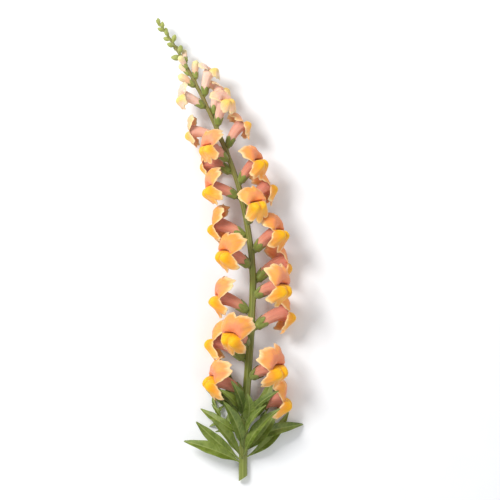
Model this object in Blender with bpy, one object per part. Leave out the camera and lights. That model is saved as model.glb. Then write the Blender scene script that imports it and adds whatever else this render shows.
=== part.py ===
"""A cut snapdragon stem, lying on its side on a flat surface.

Metres, +Z up. The stem runs along +Y from its cut end to the green buds at its tip, and leans
towards -X there. The origin is the middle of the small flat that the stem lies on, under its cut
end, so the surface is the plane z = 0. The lowest petals of some blooms just touch it.
"""

import math
import random
from collections import namedtuple

import bmesh
import bpy
from mathutils import Matrix, Vector
from mathutils.bvhtree import BVHTree

MM = 0.001
UP = Vector((0, 0, 1))
GOLDEN_TURN = math.radians(137.5)

# Stem: centre line from the cut end to the tip, and its thickness
STEM_ROUTE = [
    Vector(p) * MM
    for p in (
        (0, -14, 4.1),
        (0, 6, 4.1),
        (1, 36, 7.5),
        (4, 86, 17),
        (8, 144, 25),
        (9, 208, 28),
        (-4, 282, 28),
        (-31, 352, 26),
        (-60, 410, 22),
        (-83, 446, 19),
    )
]
ROUTE_STEPS = 12
STEM_RINGS = 30
STEM_RADIUS_CUT = 4.4 * MM
STEM_RADIUS_TIP = 1.1 * MM
STEM_TAPER = 1.35
CUT_SLANT = math.radians(34)
CUT_INSET = 4 * MM
CUTTER_SIZE = 40 * MM

# Blooms: places along the stem, measured from its cut end
# Turns round the stem in degrees, 0 on top, chosen so that no bloom crosses another or the surface
BLOOM_TURNS = (
    84.5, -65.65, 53.2, -98.45, -37.05, 97.75, -83.35, 51.5,
    119.45, -54.75, 68.05, -101.05, 25.8, 108.65, -72.45, 54.35,
    -118.7, -43.85, 90.95, -94.15, 44.7, 119.55, -61.55, 73.25,
)  # fmt: skip
BLOOM_COUNT = len(BLOOM_TURNS)
FIRST_BLOOM = 72 * MM
BLOOM_SPAN = 325 * MM
CROWDING = 0.25
TURN_START = math.radians(236)
BLOOM_SEED = 6050
BLOOM_SIZES = (1.2, 0.8)
BLOOM_SPREADS = (0.76, 0.86)
BLOOM_LIFTS = (math.radians(-4), math.radians(28))
PEDICEL_LENGTH = 5 * MM
PEDICEL_RADIUS = 1.2 * MM
PEDICEL_LEAN = math.radians(42)

# One bloom, in its own frame: +x the way it faces, +z its upper lip, origin in its mouth
BLOOM_COLUMNS = 16
TUBE_LINE = [Vector(p) * MM for p in ((-24, 0, -11), (-17.5, 0, -5), (-9, 0, -1.2), (-1.5, 0, 0))]
TUBE_PROFILE = ((0.0, 2.0), (0.08, 3.5), (0.25, 4.7), (0.5, 5.3), (0.75, 6.0), (1.0, 7.4))
MOUTH_RADIUS = 7.5 * MM
LOBE_REACH = (19.3, 21.8, 22.6, 21.6, 18, 13.2, 14.6, 19.5, 20.5, 17.6, 20.8)
WIDEST_REACH = 22.6 * MM
BEND_START = 3 * MM
PETAL_THICKNESS = 0.8 * MM
UPPER_HOOD = 3.4 * MM
UPPER_REFLEX = 7 * MM
LOWER_THRUST = 2.2 * MM
LOWER_REFLEX = 5.5 * MM
LIP_SHORTENING = 0.12
SIDE_CURL_PER_M = 20
EDGE_WAVE = 0.7 * MM
PALATE_HEIGHT = 7.6 * MM
PALATE_HALF_WIDTH = 8.8 * MM
PALATE_DROP = 4.2 * MM
PALATE_FADE = 4.4 * MM
GROOVE_SHARE = 0.22
GROOVE_WIDTH = 1.7 * MM
CREASE_DEPTH = 2.4 * MM
CREASE_WIDTH = 1.3 * MM
CREASE_HEIGHT = 1.8 * MM
CREASE_BOW_PER_M = 14
YOUNG_REACH = 0.72

# Calyx: five sepals round the foot of the tube
SEPALS = 5
CALYX_GAP = 0.4 * MM
SEPAL_THICKNESS = 0.75 * MM
CUP_RADIUS = 4.1 * MM
SEPAL_TIP = 0.30
SEPAL_NOTCH = 0.10

# Coloured buds above the blooms, and green buds above those
FLOWER_BUD_COUNT = 5
FIRST_FLOWER_BUD = 410 * MM
FLOWER_BUD_SPAN = 26 * MM
FLOWER_BUD_SIZES = (0.66, 0.46)
FLOWER_BUD_COLUMNS = 8
FLOWER_BUD_RINGS = ((0.06, 3.5), (0.3, 4.8), (0.6, 6.2), (0.86, 5.8), (1.0, 3.0))
FLOWER_BUD_NOSE = 1.8 * MM
FLOWER_BUD_LIFTS = (30, 40)
GREEN_BUD_COUNT = 13
FIRST_GREEN_BUD = 442 * MM
GREEN_BUD_LENGTHS = (9.5 * MM, 5.5 * MM)
GREEN_BUD_RINGS = ((0.0, 0.5), (0.3, 1.0), (0.65, 0.9), (0.9, 0.45))
GREEN_BUD_FATNESS = 0.33
GREEN_BUD_STALK = 1.6 * MM
GREEN_BUD_COLUMNS = 6
GREEN_BUD_LEANS = (58, 12)

# Bracts under the flowers
BRACT_LENGTH = 8 * MM
BRACT_WIDTH_SHARE = 0.3
BRACT_DROP = 1.5 * MM
BRACT_ROOT = 0.6 * MM

# Leaves on the lower stem, and leafy side shoots in their axils
LEAF_TRIES = 44
MOST_LEAVES = 18
FIRST_LEAF = 20 * MM
LEAF_SPAN = 58 * MM
LEAF_TURN_START = math.radians(137)
LEAF_TURN_SHARE = 0.62
LEAF_SEED = 1875
LEAF_LENGTHS = (66 * MM, 46 * MM)
LEAF_WIDTH_SHARE = 0.2
LEAF_THICKNESS = 0.7 * MM
LOWEST_BLADE = 0.78 * MM
LEAF_ROWS = 6
LEAF_OUTLINE = ((0.0, 0.07), (0.12, 0.3), (0.3, 0.85), (0.48, 1.0), (0.7, 0.8), (0.88, 0.4), (1.0, 0.07))
LEAF_FOLD = 0.35
LEAF_LEANS = (44, 72)
LEAF_DROOPS = (50, 110)
LEAF_CURL = 45
ROOT_GAP = 0.7 * MM
SHOOTS = ((36 * MM, -75, 60 * MM), (50 * MM, 86, 62 * MM))
SHOOT_SEED = 1740
SHOOT_RADIUS = 0.9 * MM
SHOOT_FIRST_LEAF = 1.5
SHOOT_STEPS = 6
SHOOT_LEAVES = 8
SHOOT_LEAF_LENGTHS = (21 * MM, 11 * MM)
SHOOT_LEAF_WIDTH_SHARE = 0.3

COLOURS = {
    "stem": ((0.23, 0.28, 0.055), 0.5),
    "petal": ((0.87, 0.42, 0.15), 0.55),
    "bud": ((0.78, 0.66, 0.34), 0.55),
    "leaf": ((0.13, 0.28, 0.03), 0.45),
}

BloomHabit = namedtuple("BloomHabit", "place turn lift yaw roll size spread openness")


def clear_scene():
    for obj in list(bpy.data.objects):
        bpy.data.objects.remove(obj, do_unlink=True)


def new_collection(name, hidden=False):
    made = bpy.data.collections.new(name)
    bpy.context.scene.collection.children.link(made)
    made.hide_render = hidden
    return made


def finish_material(name):
    colour, roughness = COLOURS[name]
    made = bpy.data.materials.new(name)
    made.use_nodes = True
    shader = made.node_tree.nodes["Principled BSDF"]
    shader.inputs["Base Color"].default_value = (*colour, 1)
    shader.inputs["Roughness"].default_value = roughness
    shader.inputs["Metallic"].default_value = 0
    made.diffuse_color = (*colour, 1)
    return made


def add_object(name, mesh, collection, material=None):
    obj = bpy.data.objects.new(name, mesh)
    collection.objects.link(obj)
    if material:
        mesh.materials.append(material)
    mesh.shade_smooth()
    mesh.set_sharp_from_angle(angle=math.radians(50))
    return obj


# Curves and interpolation


def mix(a, b, share):
    return a + (b - a) * share


def smooth_share(value, low, high):
    share = min(1, max(0, (value - low) / (high - low)))
    return share * share * (3 - 2 * share)


def catmull(a, b, c, d, t):
    """A point between b and c on the smooth curve through a, b, c and d."""
    return 0.5 * (2 * b + (c - a) * t + (2 * a - 5 * b + 4 * c - d) * t**2 + (3 * b - a - 3 * c + d) * t**3)


def smooth_line(points, steps):
    ends = [2 * points[0] - points[1], *points, 2 * points[-1] - points[-2]]
    line = [
        catmull(*ends[k : k + 4], step / steps) for k in range(len(points) - 1) for step in range(steps)
    ]
    return line + [points[-1].copy()]


def table_value(table, x):
    """Linear reading of a table of (x, value) rows."""
    for (x0, y0), (x1, y1) in zip(table, table[1:]):
        if x <= x1:
            return mix(y0, y1, (x - x0) / (x1 - x0))
    return table[-1][1]


def bezier(points, t):
    a, b, c, d = points
    return a * (1 - t) ** 3 + b * 3 * t * (1 - t) ** 2 + c * 3 * t**2 * (1 - t) + d * t**3


def bezier_slope(points, t):
    a, b, c, d = points
    return ((b - a) * (1 - t) ** 2 + (c - b) * 2 * t * (1 - t) + (d - c) * t**2).normalized()


# Meshes


def shaped_sphere(columns, rings, place, outwards):
    """A UV sphere moved to place(column, ring): ring 0 and the last one are its poles.

    outwards(ring) tells which of two rings lies nearer a blade's edge, so that both faces of the
    blade are split into triangles along the same diagonals.
    """
    made = bmesh.new()
    bmesh.ops.create_uvsphere(made, u_segments=columns, v_segments=rings, radius=1)
    spots = {}
    for vert in made.verts:
        ring = round(math.acos(max(-1, min(1, vert.co.z))) / math.pi * rings)
        column = round(math.atan2(vert.co.x, vert.co.y) / (2 * math.pi) * columns) % columns
        spots[vert] = (column, ring)
    for face in [f for f in made.faces if len(f.verts) == 4]:
        found = {spots[v][0] for v in face.verts}
        left = next(c for c in found if (c + 1) % columns in found)
        mirrored = left >= columns / 2

        def corner(on_left, outer):
            same = [v for v in face.verts if (spots[v][0] == left) == on_left]
            return sorted(same, key=lambda v: (outwards(spots[v][1]), spots[v][1]))[outer]

        bmesh.utils.face_split(face, corner(True, not mirrored), corner(False, mirrored))
    for vert, (column, ring) in spots.items():
        vert.co = place(column, ring)
    return finished_mesh("shaped", made)


def finished_mesh(name, made):
    """The bmesh as a mesh whose faces look outward."""
    bmesh.ops.recalc_face_normals(made, faces=made.faces)
    if made.calc_volume(signed=True) < 0:
        bmesh.ops.reverse_faces(made, faces=made.faces)
    mesh = bpy.data.meshes.new(name)
    made.to_mesh(mesh)
    made.free()
    return mesh


def poly_tube(name, points, radii, collection, sides):
    """A tube with flat caps as a mesh object, from a bevelled curve."""
    curve = bpy.data.curves.new(name, "CURVE")
    curve.dimensions = "3D"
    curve.bevel_depth = 1
    curve.bevel_resolution = (sides - 4) // 2
    curve.use_fill_caps = True
    spline = curve.splines.new("POLY")
    spline.points.add(len(points) - 1)
    for spot, point, radius in zip(spline.points, points, radii):
        spot.co = (*point, 1)
        spot.radius = radius
    wire = bpy.data.objects.new(name + "_curve", curve)
    collection.objects.link(wire)
    bpy.context.view_layer.update()
    mesh = bpy.data.meshes.new_from_object(wire.evaluated_get(bpy.context.evaluated_depsgraph_get()))
    bpy.data.objects.remove(wire, do_unlink=True)
    made = bmesh.new()
    made.from_mesh(mesh)
    bmesh.ops.remove_doubles(made, verts=made.verts, dist=0.01 * MM)
    return add_object(name, finished_mesh(name, made), collection)


def union_into(target, pieces):
    """Fuses every object of the collection pieces into target, and removes them."""
    fuse = target.modifiers.new("fuse", "BOOLEAN")
    fuse.operation = "UNION"
    fuse.operand_type = "COLLECTION"
    fuse.collection = pieces
    fuse.solver = "EXACT"
    bpy.context.view_layer.objects.active = target
    bpy.ops.object.modifier_apply(modifier=fuse.name)
    for obj in list(pieces.objects):
        bpy.data.objects.remove(obj, do_unlink=True)
    bpy.data.collections.remove(pieces)


# Stem line and frames


STEM_LINE = smooth_line(STEM_ROUTE, ROUTE_STEPS)
STEM_PLACES = [0.0]
for start, end in zip(STEM_LINE, STEM_LINE[1:]):
    STEM_PLACES.append(STEM_PLACES[-1] + (end - start).length)
STEM_LENGTH = STEM_PLACES[-1]


def stem_frame(place):
    """Point, direction, upward and sideways vectors of the stem at a distance from its cut end."""
    k = max(j for j in range(len(STEM_PLACES) - 1) if STEM_PLACES[j] <= max(0, place))
    share = (place - STEM_PLACES[k]) / (STEM_PLACES[k + 1] - STEM_PLACES[k])
    point = mix(STEM_LINE[k], STEM_LINE[k + 1], share)
    before = STEM_LINE[max(0, k - 1)]
    after = STEM_LINE[min(len(STEM_LINE) - 1, k + 2)]
    along = (after - before).normalized()
    upward = (UP - along * along.z).normalized()
    return point, along, upward, along.cross(upward)


def stem_radius(place):
    return mix(STEM_RADIUS_CUT, STEM_RADIUS_TIP, (place / STEM_LENGTH) ** STEM_TAPER)


def outward(upward, side, turn):
    """The direction away from the stem at an angle round it, which is 0 on top."""
    return upward * math.cos(turn) + side * math.sin(turn)


def wrapped(angle):
    return (angle + math.pi) % (2 * math.pi) - math.pi


# One bloom


def tube_radius(share):
    return table_value(TUBE_PROFILE, share) * MM


def ring_round_tube(theta, share, radius):
    """A point on a circle round the tube's centre line, with theta measured from its side."""
    slope = bezier_slope(TUBE_LINE, share)
    upright = Vector((-slope.z, 0, slope.x))
    level = Vector((0, 1, 0))
    return bezier(TUBE_LINE, share) + (level * math.cos(theta) + upright * math.sin(theta)) * radius


def lobe_reach(theta):
    """How far the lips reach from the mouth: 11 values from top to bottom, smoothed between."""
    last = len(LOBE_REACH) - 1
    spot = abs(wrapped(math.pi / 2 - theta)) / math.pi * last
    k = min(int(spot), last - 1)
    value = [LOBE_REACH[abs(n) if n <= last else 2 * last - n] for n in range(k - 1, k + 3)]
    return catmull(*value, spot - k) * MM


def lip_point(theta, distance, front, habit, raised=0):
    """A point on the lips at a distance from the mouth, whose middle may be raised."""
    bend = max(0, distance - BEND_START) / (WIDEST_REACH - BEND_START)
    y = distance * math.cos(theta) * mix(1, habit.spread, smooth_share(bend, 0, 0.7))
    z = distance * math.sin(theta) + raised
    arch = 4 * bend * (1 - bend)
    upper = UPPER_HOOD * arch - UPPER_REFLEX * habit.openness * bend**2
    lower = LOWER_THRUST * arch - LOWER_REFLEX * habit.openness * bend**2
    x = mix(lower, upper, smooth_share(math.sin(theta), -0.25, 0.35))
    x -= SIDE_CURL_PER_M * y * y * habit.openness * bend
    x += EDGE_WAVE * bend**3 * math.sin(5 * theta + 40 * habit.spread)
    z *= 1 - LIP_SHORTENING * bend**2
    x += mouth_relief(y, z) if front else -PETAL_THICKNESS
    return Vector((x, y, z))


def mouth_relief(y, z):
    """The grooved palate that closes the mouth, under the bowed crease where the lips meet."""
    above_crease = z - CREASE_HEIGHT + CREASE_BOW_PER_M * y * y
    from_top = (above_crease + CREASE_HEIGHT + PALATE_DROP) / (CREASE_HEIGHT + PALATE_DROP)
    if from_top > 0:
        level = math.sqrt(max(0, 1 - from_top**2))
    else:
        level = math.exp(-((from_top * (CREASE_HEIGHT + PALATE_DROP) / PALATE_FADE) ** 2) / 2)
    width = math.exp(-((y / PALATE_HALF_WIDTH) ** 4))
    groove = GROOVE_SHARE * math.exp(-((y / GROOVE_WIDTH) ** 2))
    crease = width * math.exp(-((above_crease / CREASE_WIDTH) ** 2))
    return PALATE_HEIGHT * level * (width - groove) - CREASE_DEPTH * crease


# Rings of a bloom from the foot of its tube, over the edge of its lips, to its mouth
BLOOM_RINGS = (
    ("foot", 0),
    ("tube", 0.06),
    ("tube", 0.3),
    ("tube", 0.78),
    ("back", 0),
    ("back", 0.55),
    ("back", 1),
    ("front", 1),
    ("front", 0.55),
    ("front", 0),
    ("mouth", 0.5),
    ("mouth", 0),
)


def bloom_point(column, ring, habit):
    theta = math.pi / 2 - 2 * math.pi * column / BLOOM_COLUMNS
    part, share = BLOOM_RINGS[ring]
    if part == "foot":
        return bezier(TUBE_LINE, 0)
    if part == "tube":
        return ring_round_tube(theta, share, tube_radius(share))
    if part == "mouth":
        return lip_point(theta, MOUTH_RADIUS * share, True, habit, CREASE_HEIGHT * (1 - share))
    reach = lobe_reach(theta) * mix(YOUNG_REACH, 1.0, habit.openness)
    return lip_point(theta, mix(MOUTH_RADIUS, reach, share), part == "front", habit)


def bloom_frame(habit):
    """The matrix from a bloom's own frame to its place, and the frame's stem point and direction."""
    point, along, upward, side = stem_frame(habit.place)
    away = outward(upward, side, habit.turn)
    facing = away * math.cos(habit.lift) + along * math.sin(habit.lift)
    lip = along * math.cos(habit.lift) - away * math.sin(habit.lift)
    axes = Matrix((facing, lip.cross(facing), lip)).transposed()
    axes = axes @ Matrix.Rotation(habit.yaw, 3, "Z") @ Matrix.Rotation(habit.roll, 3, "X")
    pedicel = away * math.sin(PEDICEL_LEAN) + along * math.cos(PEDICEL_LEAN)
    foot = point + away * stem_radius(habit.place) + pedicel * PEDICEL_LENGTH * habit.size
    axes = axes * habit.size
    return Matrix.Translation(foot - axes @ bezier(TUBE_LINE, 0)) @ axes.to_4x4()


def bloom_habit(number):
    """Where bloom number stands and how: from the lowest and widest to the youngest."""
    draw = random.Random(BLOOM_SEED + number)
    age = number / (BLOOM_COUNT - 1)
    return BloomHabit(
        place=FIRST_BLOOM + BLOOM_SPAN * ((1 + CROWDING) * age - CROWDING * age**2),
        turn=math.radians(BLOOM_TURNS[number]),
        lift=mix(*BLOOM_LIFTS, age**2) + math.radians(draw.uniform(-6, 6)),
        yaw=math.radians(draw.uniform(-8, 8)),
        roll=math.radians(draw.uniform(-9, 9)),
        size=mix(*BLOOM_SIZES, age**1.5) * draw.uniform(0.97, 1.03),
        spread=draw.uniform(*BLOOM_SPREADS),
        openness=mix(1.0, 0.45, smooth_share(age, 0.7, 1.0)),
    )


def flower_bud_habit(number):
    age = number / (FLOWER_BUD_COUNT - 1)
    return BloomHabit(
        place=FIRST_FLOWER_BUD + FLOWER_BUD_SPAN * age,
        turn=wrapped(TURN_START + (BLOOM_COUNT + number) * GOLDEN_TURN),
        lift=math.radians(mix(*FLOWER_BUD_LIFTS, age)),
        yaw=0,
        roll=0,
        size=mix(*FLOWER_BUD_SIZES, age),
        spread=1,
        openness=0,
    )


def make_bloom(number, habit, collection, material):
    rim = next(k for k, ring in enumerate(BLOOM_RINGS) if ring == ("front", 1))
    mesh = shaped_sphere(
        BLOOM_COLUMNS,
        len(BLOOM_RINGS) - 1,
        lambda column, ring: bloom_point(column, ring, habit),
        lambda ring: -abs(ring - rim + 0.5),
    )
    mesh.transform(bloom_frame(habit))
    return add_object(f"bloom_{number + 1:02d}", mesh, collection, material)


# Pedicel and calyx, one piece with the stem


def calyx_point(column, ring, gap, root):
    """Rings: pole in the stem, pedicel, cup, sepal tips outside and inside, floor of the cup, its pole."""
    theta = 2 * math.pi * column / (2 * SEPALS)
    tip = (SEPAL_TIP, SEPAL_NOTCH)[column % 2]
    slope = bezier_slope(TUBE_LINE, 0)
    level, upright = Vector((0, 1, 0)), Vector((-slope.z, 0, slope.x))
    radial = level * math.cos(theta) + upright * math.sin(theta)
    floor = bezier(TUBE_LINE, 0) - slope * gap
    if ring == 0:
        return root
    if ring == 1:
        return mix(root, floor, 0.35) + radial * PEDICEL_RADIUS
    if ring == 2:
        return floor - slope * 0.6 * MM + radial * CUP_RADIUS
    if ring == 3:
        return ring_round_tube(theta, tip, tube_radius(tip) + gap + SEPAL_THICKNESS)
    if ring == 4:
        return ring_round_tube(theta, tip * 0.92, tube_radius(tip * 0.92) + gap)
    if ring == 5:
        return bezier(TUBE_LINE, 0.03) + radial * (tube_radius(0.06) + gap)
    return floor


def make_calyx(name, habit, collection):
    frame = bloom_frame(habit)
    point = stem_frame(habit.place)[0]
    root = frame.inverted() @ point
    gap = CALYX_GAP / habit.size
    mesh = shaped_sphere(
        2 * SEPALS,
        6,
        lambda column, ring: calyx_point(column, ring, gap, root),
        lambda ring: -abs(ring - 3.5),
    )
    mesh.transform(frame)
    return add_object(name, mesh, collection)


def make_flower_bud(number, habit, collection, material):
    last = len(FLOWER_BUD_RINGS) + 1

    def place(column, ring):
        theta = 2 * math.pi * column / FLOWER_BUD_COLUMNS
        if ring == 0:
            return bezier(TUBE_LINE, 0)
        if ring == last:
            return bezier(TUBE_LINE, 1) + bezier_slope(TUBE_LINE, 1) * FLOWER_BUD_NOSE
        share, radius = FLOWER_BUD_RINGS[ring - 1]
        return ring_round_tube(theta, share, radius * MM)

    mesh = shaped_sphere(FLOWER_BUD_COLUMNS, last, place, lambda ring: ring)
    mesh.transform(bloom_frame(habit))
    return add_object(f"flower_bud_{number + 1:02d}", mesh, collection, material)


def make_green_bud(number, collection):
    """A closed bud of the tip, with its foot inside the stem; the last one ends the stem."""
    age = number / (GREEN_BUD_COUNT - 1)
    span = STEM_LENGTH - FIRST_GREEN_BUD
    point, along, upward, side = stem_frame(FIRST_GREEN_BUD + span * (1 - (1 - age) ** 1.4))
    away = outward(upward, side, TURN_START + (BLOOM_COUNT + FLOWER_BUD_COUNT + number) * GOLDEN_TURN)
    lean = math.radians(mix(*GREEN_BUD_LEANS, age**1.5))
    axis = (away * math.sin(lean) + along * math.cos(lean)).normalized()
    level = axis.cross(along if age < 1 else side).normalized()
    upright = axis.cross(level)
    length = mix(*GREEN_BUD_LENGTHS, age**0.7)

    def place(column, ring):
        if ring == 0:
            return point
        if ring == len(GREEN_BUD_RINGS) + 1:
            return point + axis * (length + GREEN_BUD_STALK)
        share, width = GREEN_BUD_RINGS[ring - 1]
        theta = 2 * math.pi * column / GREEN_BUD_COLUMNS
        round_axis = level * math.cos(theta) + upright * math.sin(theta)
        middle = point + axis * (GREEN_BUD_STALK + length * share)
        return middle + round_axis * length * GREEN_BUD_FATNESS * width

    mesh = shaped_sphere(GREEN_BUD_COLUMNS, len(GREEN_BUD_RINGS) + 1, place, lambda ring: ring)
    return add_object(f"green_bud_{number + 1:02d}", mesh, collection)


# Leaves


def blade_line(start, direction, length, droop, curl, steps):
    """A leaf's centre line, bending down by droop and sideways by curl, and lying on the surface below."""
    line = [start.copy()]
    heading = direction.normalized()
    for _ in range(steps):
        swing = Matrix.Rotation(curl / steps, 3, "Z")
        heading = (swing @ heading - UP * droop / steps).normalized()
        spot = line[-1] + heading * length / steps
        if spot.z < LOWEST_BLADE:
            rise = (LOWEST_BLADE - line[-1].z) * steps / length
            heading = Vector((heading.x, heading.y, rise)).normalized()
            spot = line[-1] + heading * length / steps
        line.append(spot)
    return line


def make_blade(name, line, width, facing, fold, collection, material=None):
    """A leaf with a folded midrib along a line of points; facing is the way its upper face looks."""
    rows = len(line) - 1
    made = bmesh.new()
    bmesh.ops.create_grid(made, x_segments=2, y_segments=rows, size=1)
    for vert in made.verts:
        across, k = round(vert.co.x), round((vert.co.y + 1) / 2 * rows)
        heading = (line[min(k + 1, rows)] - line[max(k - 1, 0)]).normalized()
        level = heading.cross(facing).normalized()
        normal = level.cross(heading)
        half = width / 2 * table_value(LEAF_OUTLINE, k / rows)
        vert.co = line[k] + level * across * half + normal * abs(across) * half * fold
        vert.co.z = max(vert.co.z, LOWEST_BLADE)
    bmesh.ops.triangulate(made, faces=made.faces, quad_method="FIXED")
    bmesh.ops.solidify(made, geom=made.faces, thickness=LEAF_THICKNESS)
    return add_object(name, finished_mesh(name, made), collection, material)


def make_bract(name, habit, collection):
    point, along, upward, side = stem_frame(habit.place - BRACT_DROP)
    away = outward(upward, side, habit.turn)
    start = point + away * (stem_radius(habit.place) - BRACT_ROOT)
    length = BRACT_LENGTH * habit.size
    heading = away * 1.3 + along
    line = [start + (heading * t - along * t * t * 0.5) * length / 1.6 for t in (0, 0.45, 1.0)]
    return make_blade(name, line, length * BRACT_WIDTH_SHARE, along - away, LEAF_FOLD, collection)


def surface_of(obj):
    return BVHTree.FromPolygons([v.co for v in obj.data.vertices], [p.vertices for p in obj.data.polygons])


def make_leaf(number, name, collection, material):
    draw = random.Random(LEAF_SEED + number)
    age = number / (LEAF_TRIES - 1)
    place = FIRST_LEAF + LEAF_SPAN * age
    point, along, upward, side = stem_frame(place)
    away = outward(upward, side, LEAF_TURN_SHARE * wrapped(LEAF_TURN_START + number * GOLDEN_TURN))
    lean = math.radians(draw.uniform(*LEAF_LEANS)) * mix(0.6, 1, abs(away.dot(side)))
    line = blade_line(
        point + away * (stem_radius(place) + ROOT_GAP),
        away * math.sin(lean) + along * math.cos(lean),
        mix(*LEAF_LENGTHS, age) * draw.uniform(0.85, 1.1),
        math.radians(draw.uniform(*LEAF_DROOPS)) * mix(0.25, 1, abs(away.dot(side))),
        math.radians(draw.uniform(-LEAF_CURL, LEAF_CURL)),
        LEAF_ROWS,
    )
    width = mix(*LEAF_LENGTHS, age) * LEAF_WIDTH_SHARE * draw.uniform(0.85, 1.2)
    facing = UP + along * max(0, away.z)
    return make_blade(name, line, width, facing, LEAF_FOLD, collection, material)


def make_leaves(collection, material):
    """Leaves in a spiral up the lower stem, without those that would cross what is already there."""
    taken = [surface_of(obj) for obj in collection.objects]
    kept = 0
    for number in range(LEAF_TRIES):
        leaf = make_leaf(number, f"leaf_{kept + 1:02d}", collection, material)
        surface = surface_of(leaf)
        if any(surface.overlap(other) for other in taken):
            bpy.data.objects.remove(leaf, do_unlink=True)
            continue
        taken.append(surface)
        kept += 1
        if kept == MOST_LEAVES:
            return


def make_side_shoot(number, collection, material):
    """A leafy shoot from a leaf axil: a thin stalk with small curled leaves, fused."""
    draw = random.Random(SHOOT_SEED + number)
    place, turn, length = SHOOTS[number]
    point, along, upward, side = stem_frame(place)
    away = outward(upward, side, math.radians(turn))
    line = blade_line(
        point + away * (stem_radius(place) + SHOOT_RADIUS + ROOT_GAP),
        away * 0.85 + along,
        length,
        math.radians(35),
        math.radians(math.copysign(22, turn)),
        SHOOT_STEPS,
    )
    radii = [SHOOT_RADIUS * mix(1, 0.6, k / SHOOT_STEPS) for k in range(SHOOT_STEPS + 1)]
    stalk = poly_tube(f"side_shoot_{number + 1:02d}", line, radii, collection, 6)
    stalk.data.materials.append(material)
    leaves = new_collection(f"leaves_of_shoot_{number + 1:02d}")
    for k in range(SHOOT_LEAVES):
        age = k / (SHOOT_LEAVES - 1)
        spot = mix(SHOOT_FIRST_LEAF, SHOOT_STEPS - 0.2, age)
        foot = mix(line[int(spot)], line[int(spot) + 1], spot % 1)
        heading = (line[int(spot) + 1] - line[int(spot)]).normalized()
        level = heading.cross(UP).normalized()
        round_stalk = outward(level.cross(heading), level, k * GOLDEN_TURN * 0.9)
        lean = math.radians(mix(62, 18, age))
        leaf_line = blade_line(
            foot,
            round_stalk * math.sin(lean) + heading * math.cos(lean),
            mix(*SHOOT_LEAF_LENGTHS, age) * draw.uniform(0.85, 1.1),
            math.radians(draw.uniform(10, 60)),
            math.radians(draw.uniform(-60, 60)),
            2,
        )
        width = mix(*SHOOT_LEAF_LENGTHS, age) * SHOOT_LEAF_WIDTH_SHARE
        make_blade(f"shoot_leaf_{k}", leaf_line, width, heading + UP * 0.7, LEAF_FOLD, leaves)
    union_into(stalk, leaves)


def trim_stem_end(stem):
    """Cuts the stem's end at a slant, and slices the flat that it lies on."""
    cutters = new_collection("cutters", hidden=True)
    start, along, _, _ = stem_frame(0)
    slant = Matrix.Translation(start + along * CUT_INSET) @ Matrix.Rotation(CUT_SLANT, 4, "Z")
    behind = slant @ Matrix.Translation(-along * CUTTER_SIZE / 2)
    below = Matrix.Translation(-UP * CUTTER_SIZE / 2)
    for name, move in (("end_cutter", behind), ("rest_cutter", below)):
        made = bmesh.new()
        bmesh.ops.create_cube(made, size=CUTTER_SIZE)
        made.transform(move)
        cutter = add_object(name, finished_mesh(name, made), cutters)
        cutter.display_type = "WIRE"
        cut = stem.modifiers.new(name, "BOOLEAN")
        cut.operation = "DIFFERENCE"
        cut.object = cutter
        cut.solver = "EXACT"


def main():
    clear_scene()
    plant = new_collection("snapdragon_stem")
    fused = new_collection("fused_into_stem")
    materials = {name: finish_material(name) for name in COLOURS}
    places = [STEM_LENGTH * k / STEM_RINGS for k in range(STEM_RINGS + 1)]
    stem = poly_tube("stem", [stem_frame(p)[0] for p in places], [stem_radius(p) for p in places], plant, 8)
    stem.data.materials.append(materials["stem"])
    for number in range(BLOOM_COUNT):
        habit = bloom_habit(number)
        make_bloom(number, habit, plant, materials["petal"])
        make_calyx(f"calyx_{number + 1:02d}", habit, fused)
        make_bract(f"bract_{number + 1:02d}", habit, fused)
    for number in range(FLOWER_BUD_COUNT):
        habit = flower_bud_habit(number)
        make_flower_bud(number, habit, plant, materials["bud"])
        make_calyx(f"bud_calyx_{number + 1:02d}", habit, fused)
        make_bract(f"bud_bract_{number + 1:02d}", habit, fused)
    for number in range(GREEN_BUD_COUNT):
        make_green_bud(number, fused)
    union_into(stem, fused)
    trim_stem_end(stem)
    for number in range(len(SHOOTS)):
        make_side_shoot(number, plant, materials["leaf"])
    make_leaves(plant, materials["leaf"])


main()
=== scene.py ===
"""A cut snapdragon stem lying on a pale surface, looked at from straight above.

The flowers, buds, leaves and stem here are finely modelled pieces that stand for the nodes of the
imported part. They keep the places and main forms of its solids, in metres, in the same frame.
"""

import math
import random
from collections import namedtuple

import bmesh
import bpy
from bpy.props import FloatProperty, FloatVectorProperty, PointerProperty
from mathutils import Matrix, Vector, noise


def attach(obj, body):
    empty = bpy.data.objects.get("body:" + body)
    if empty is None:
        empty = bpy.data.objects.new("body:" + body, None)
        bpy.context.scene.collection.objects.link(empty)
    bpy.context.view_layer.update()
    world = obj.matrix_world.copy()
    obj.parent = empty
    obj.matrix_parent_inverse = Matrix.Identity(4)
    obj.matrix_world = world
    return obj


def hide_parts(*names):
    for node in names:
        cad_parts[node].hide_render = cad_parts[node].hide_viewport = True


bl_info = {
    "name": "Snapdragon stem",
    "version": (1, 0, 0),
    "blender": (4, 5, 0),
    "location": "View3D > Sidebar > Snapdragon",
    "description": "Dresses a snapdragon stem with fine flowers, buds, leaves and hairs",
    "category": "Object",
}

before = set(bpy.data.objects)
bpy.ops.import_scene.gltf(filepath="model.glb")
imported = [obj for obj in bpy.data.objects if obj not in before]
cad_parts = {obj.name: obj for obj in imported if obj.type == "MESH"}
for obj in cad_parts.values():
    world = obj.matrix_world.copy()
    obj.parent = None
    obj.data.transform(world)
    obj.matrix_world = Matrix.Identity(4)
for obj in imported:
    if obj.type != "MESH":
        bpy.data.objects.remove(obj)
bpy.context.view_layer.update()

MM = 0.001
UP = Vector((0, 0, 1))
TURN = 2 * math.pi
GOLDEN_TURN = math.radians(137.5)

# Places and forms that the solids have too

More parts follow.
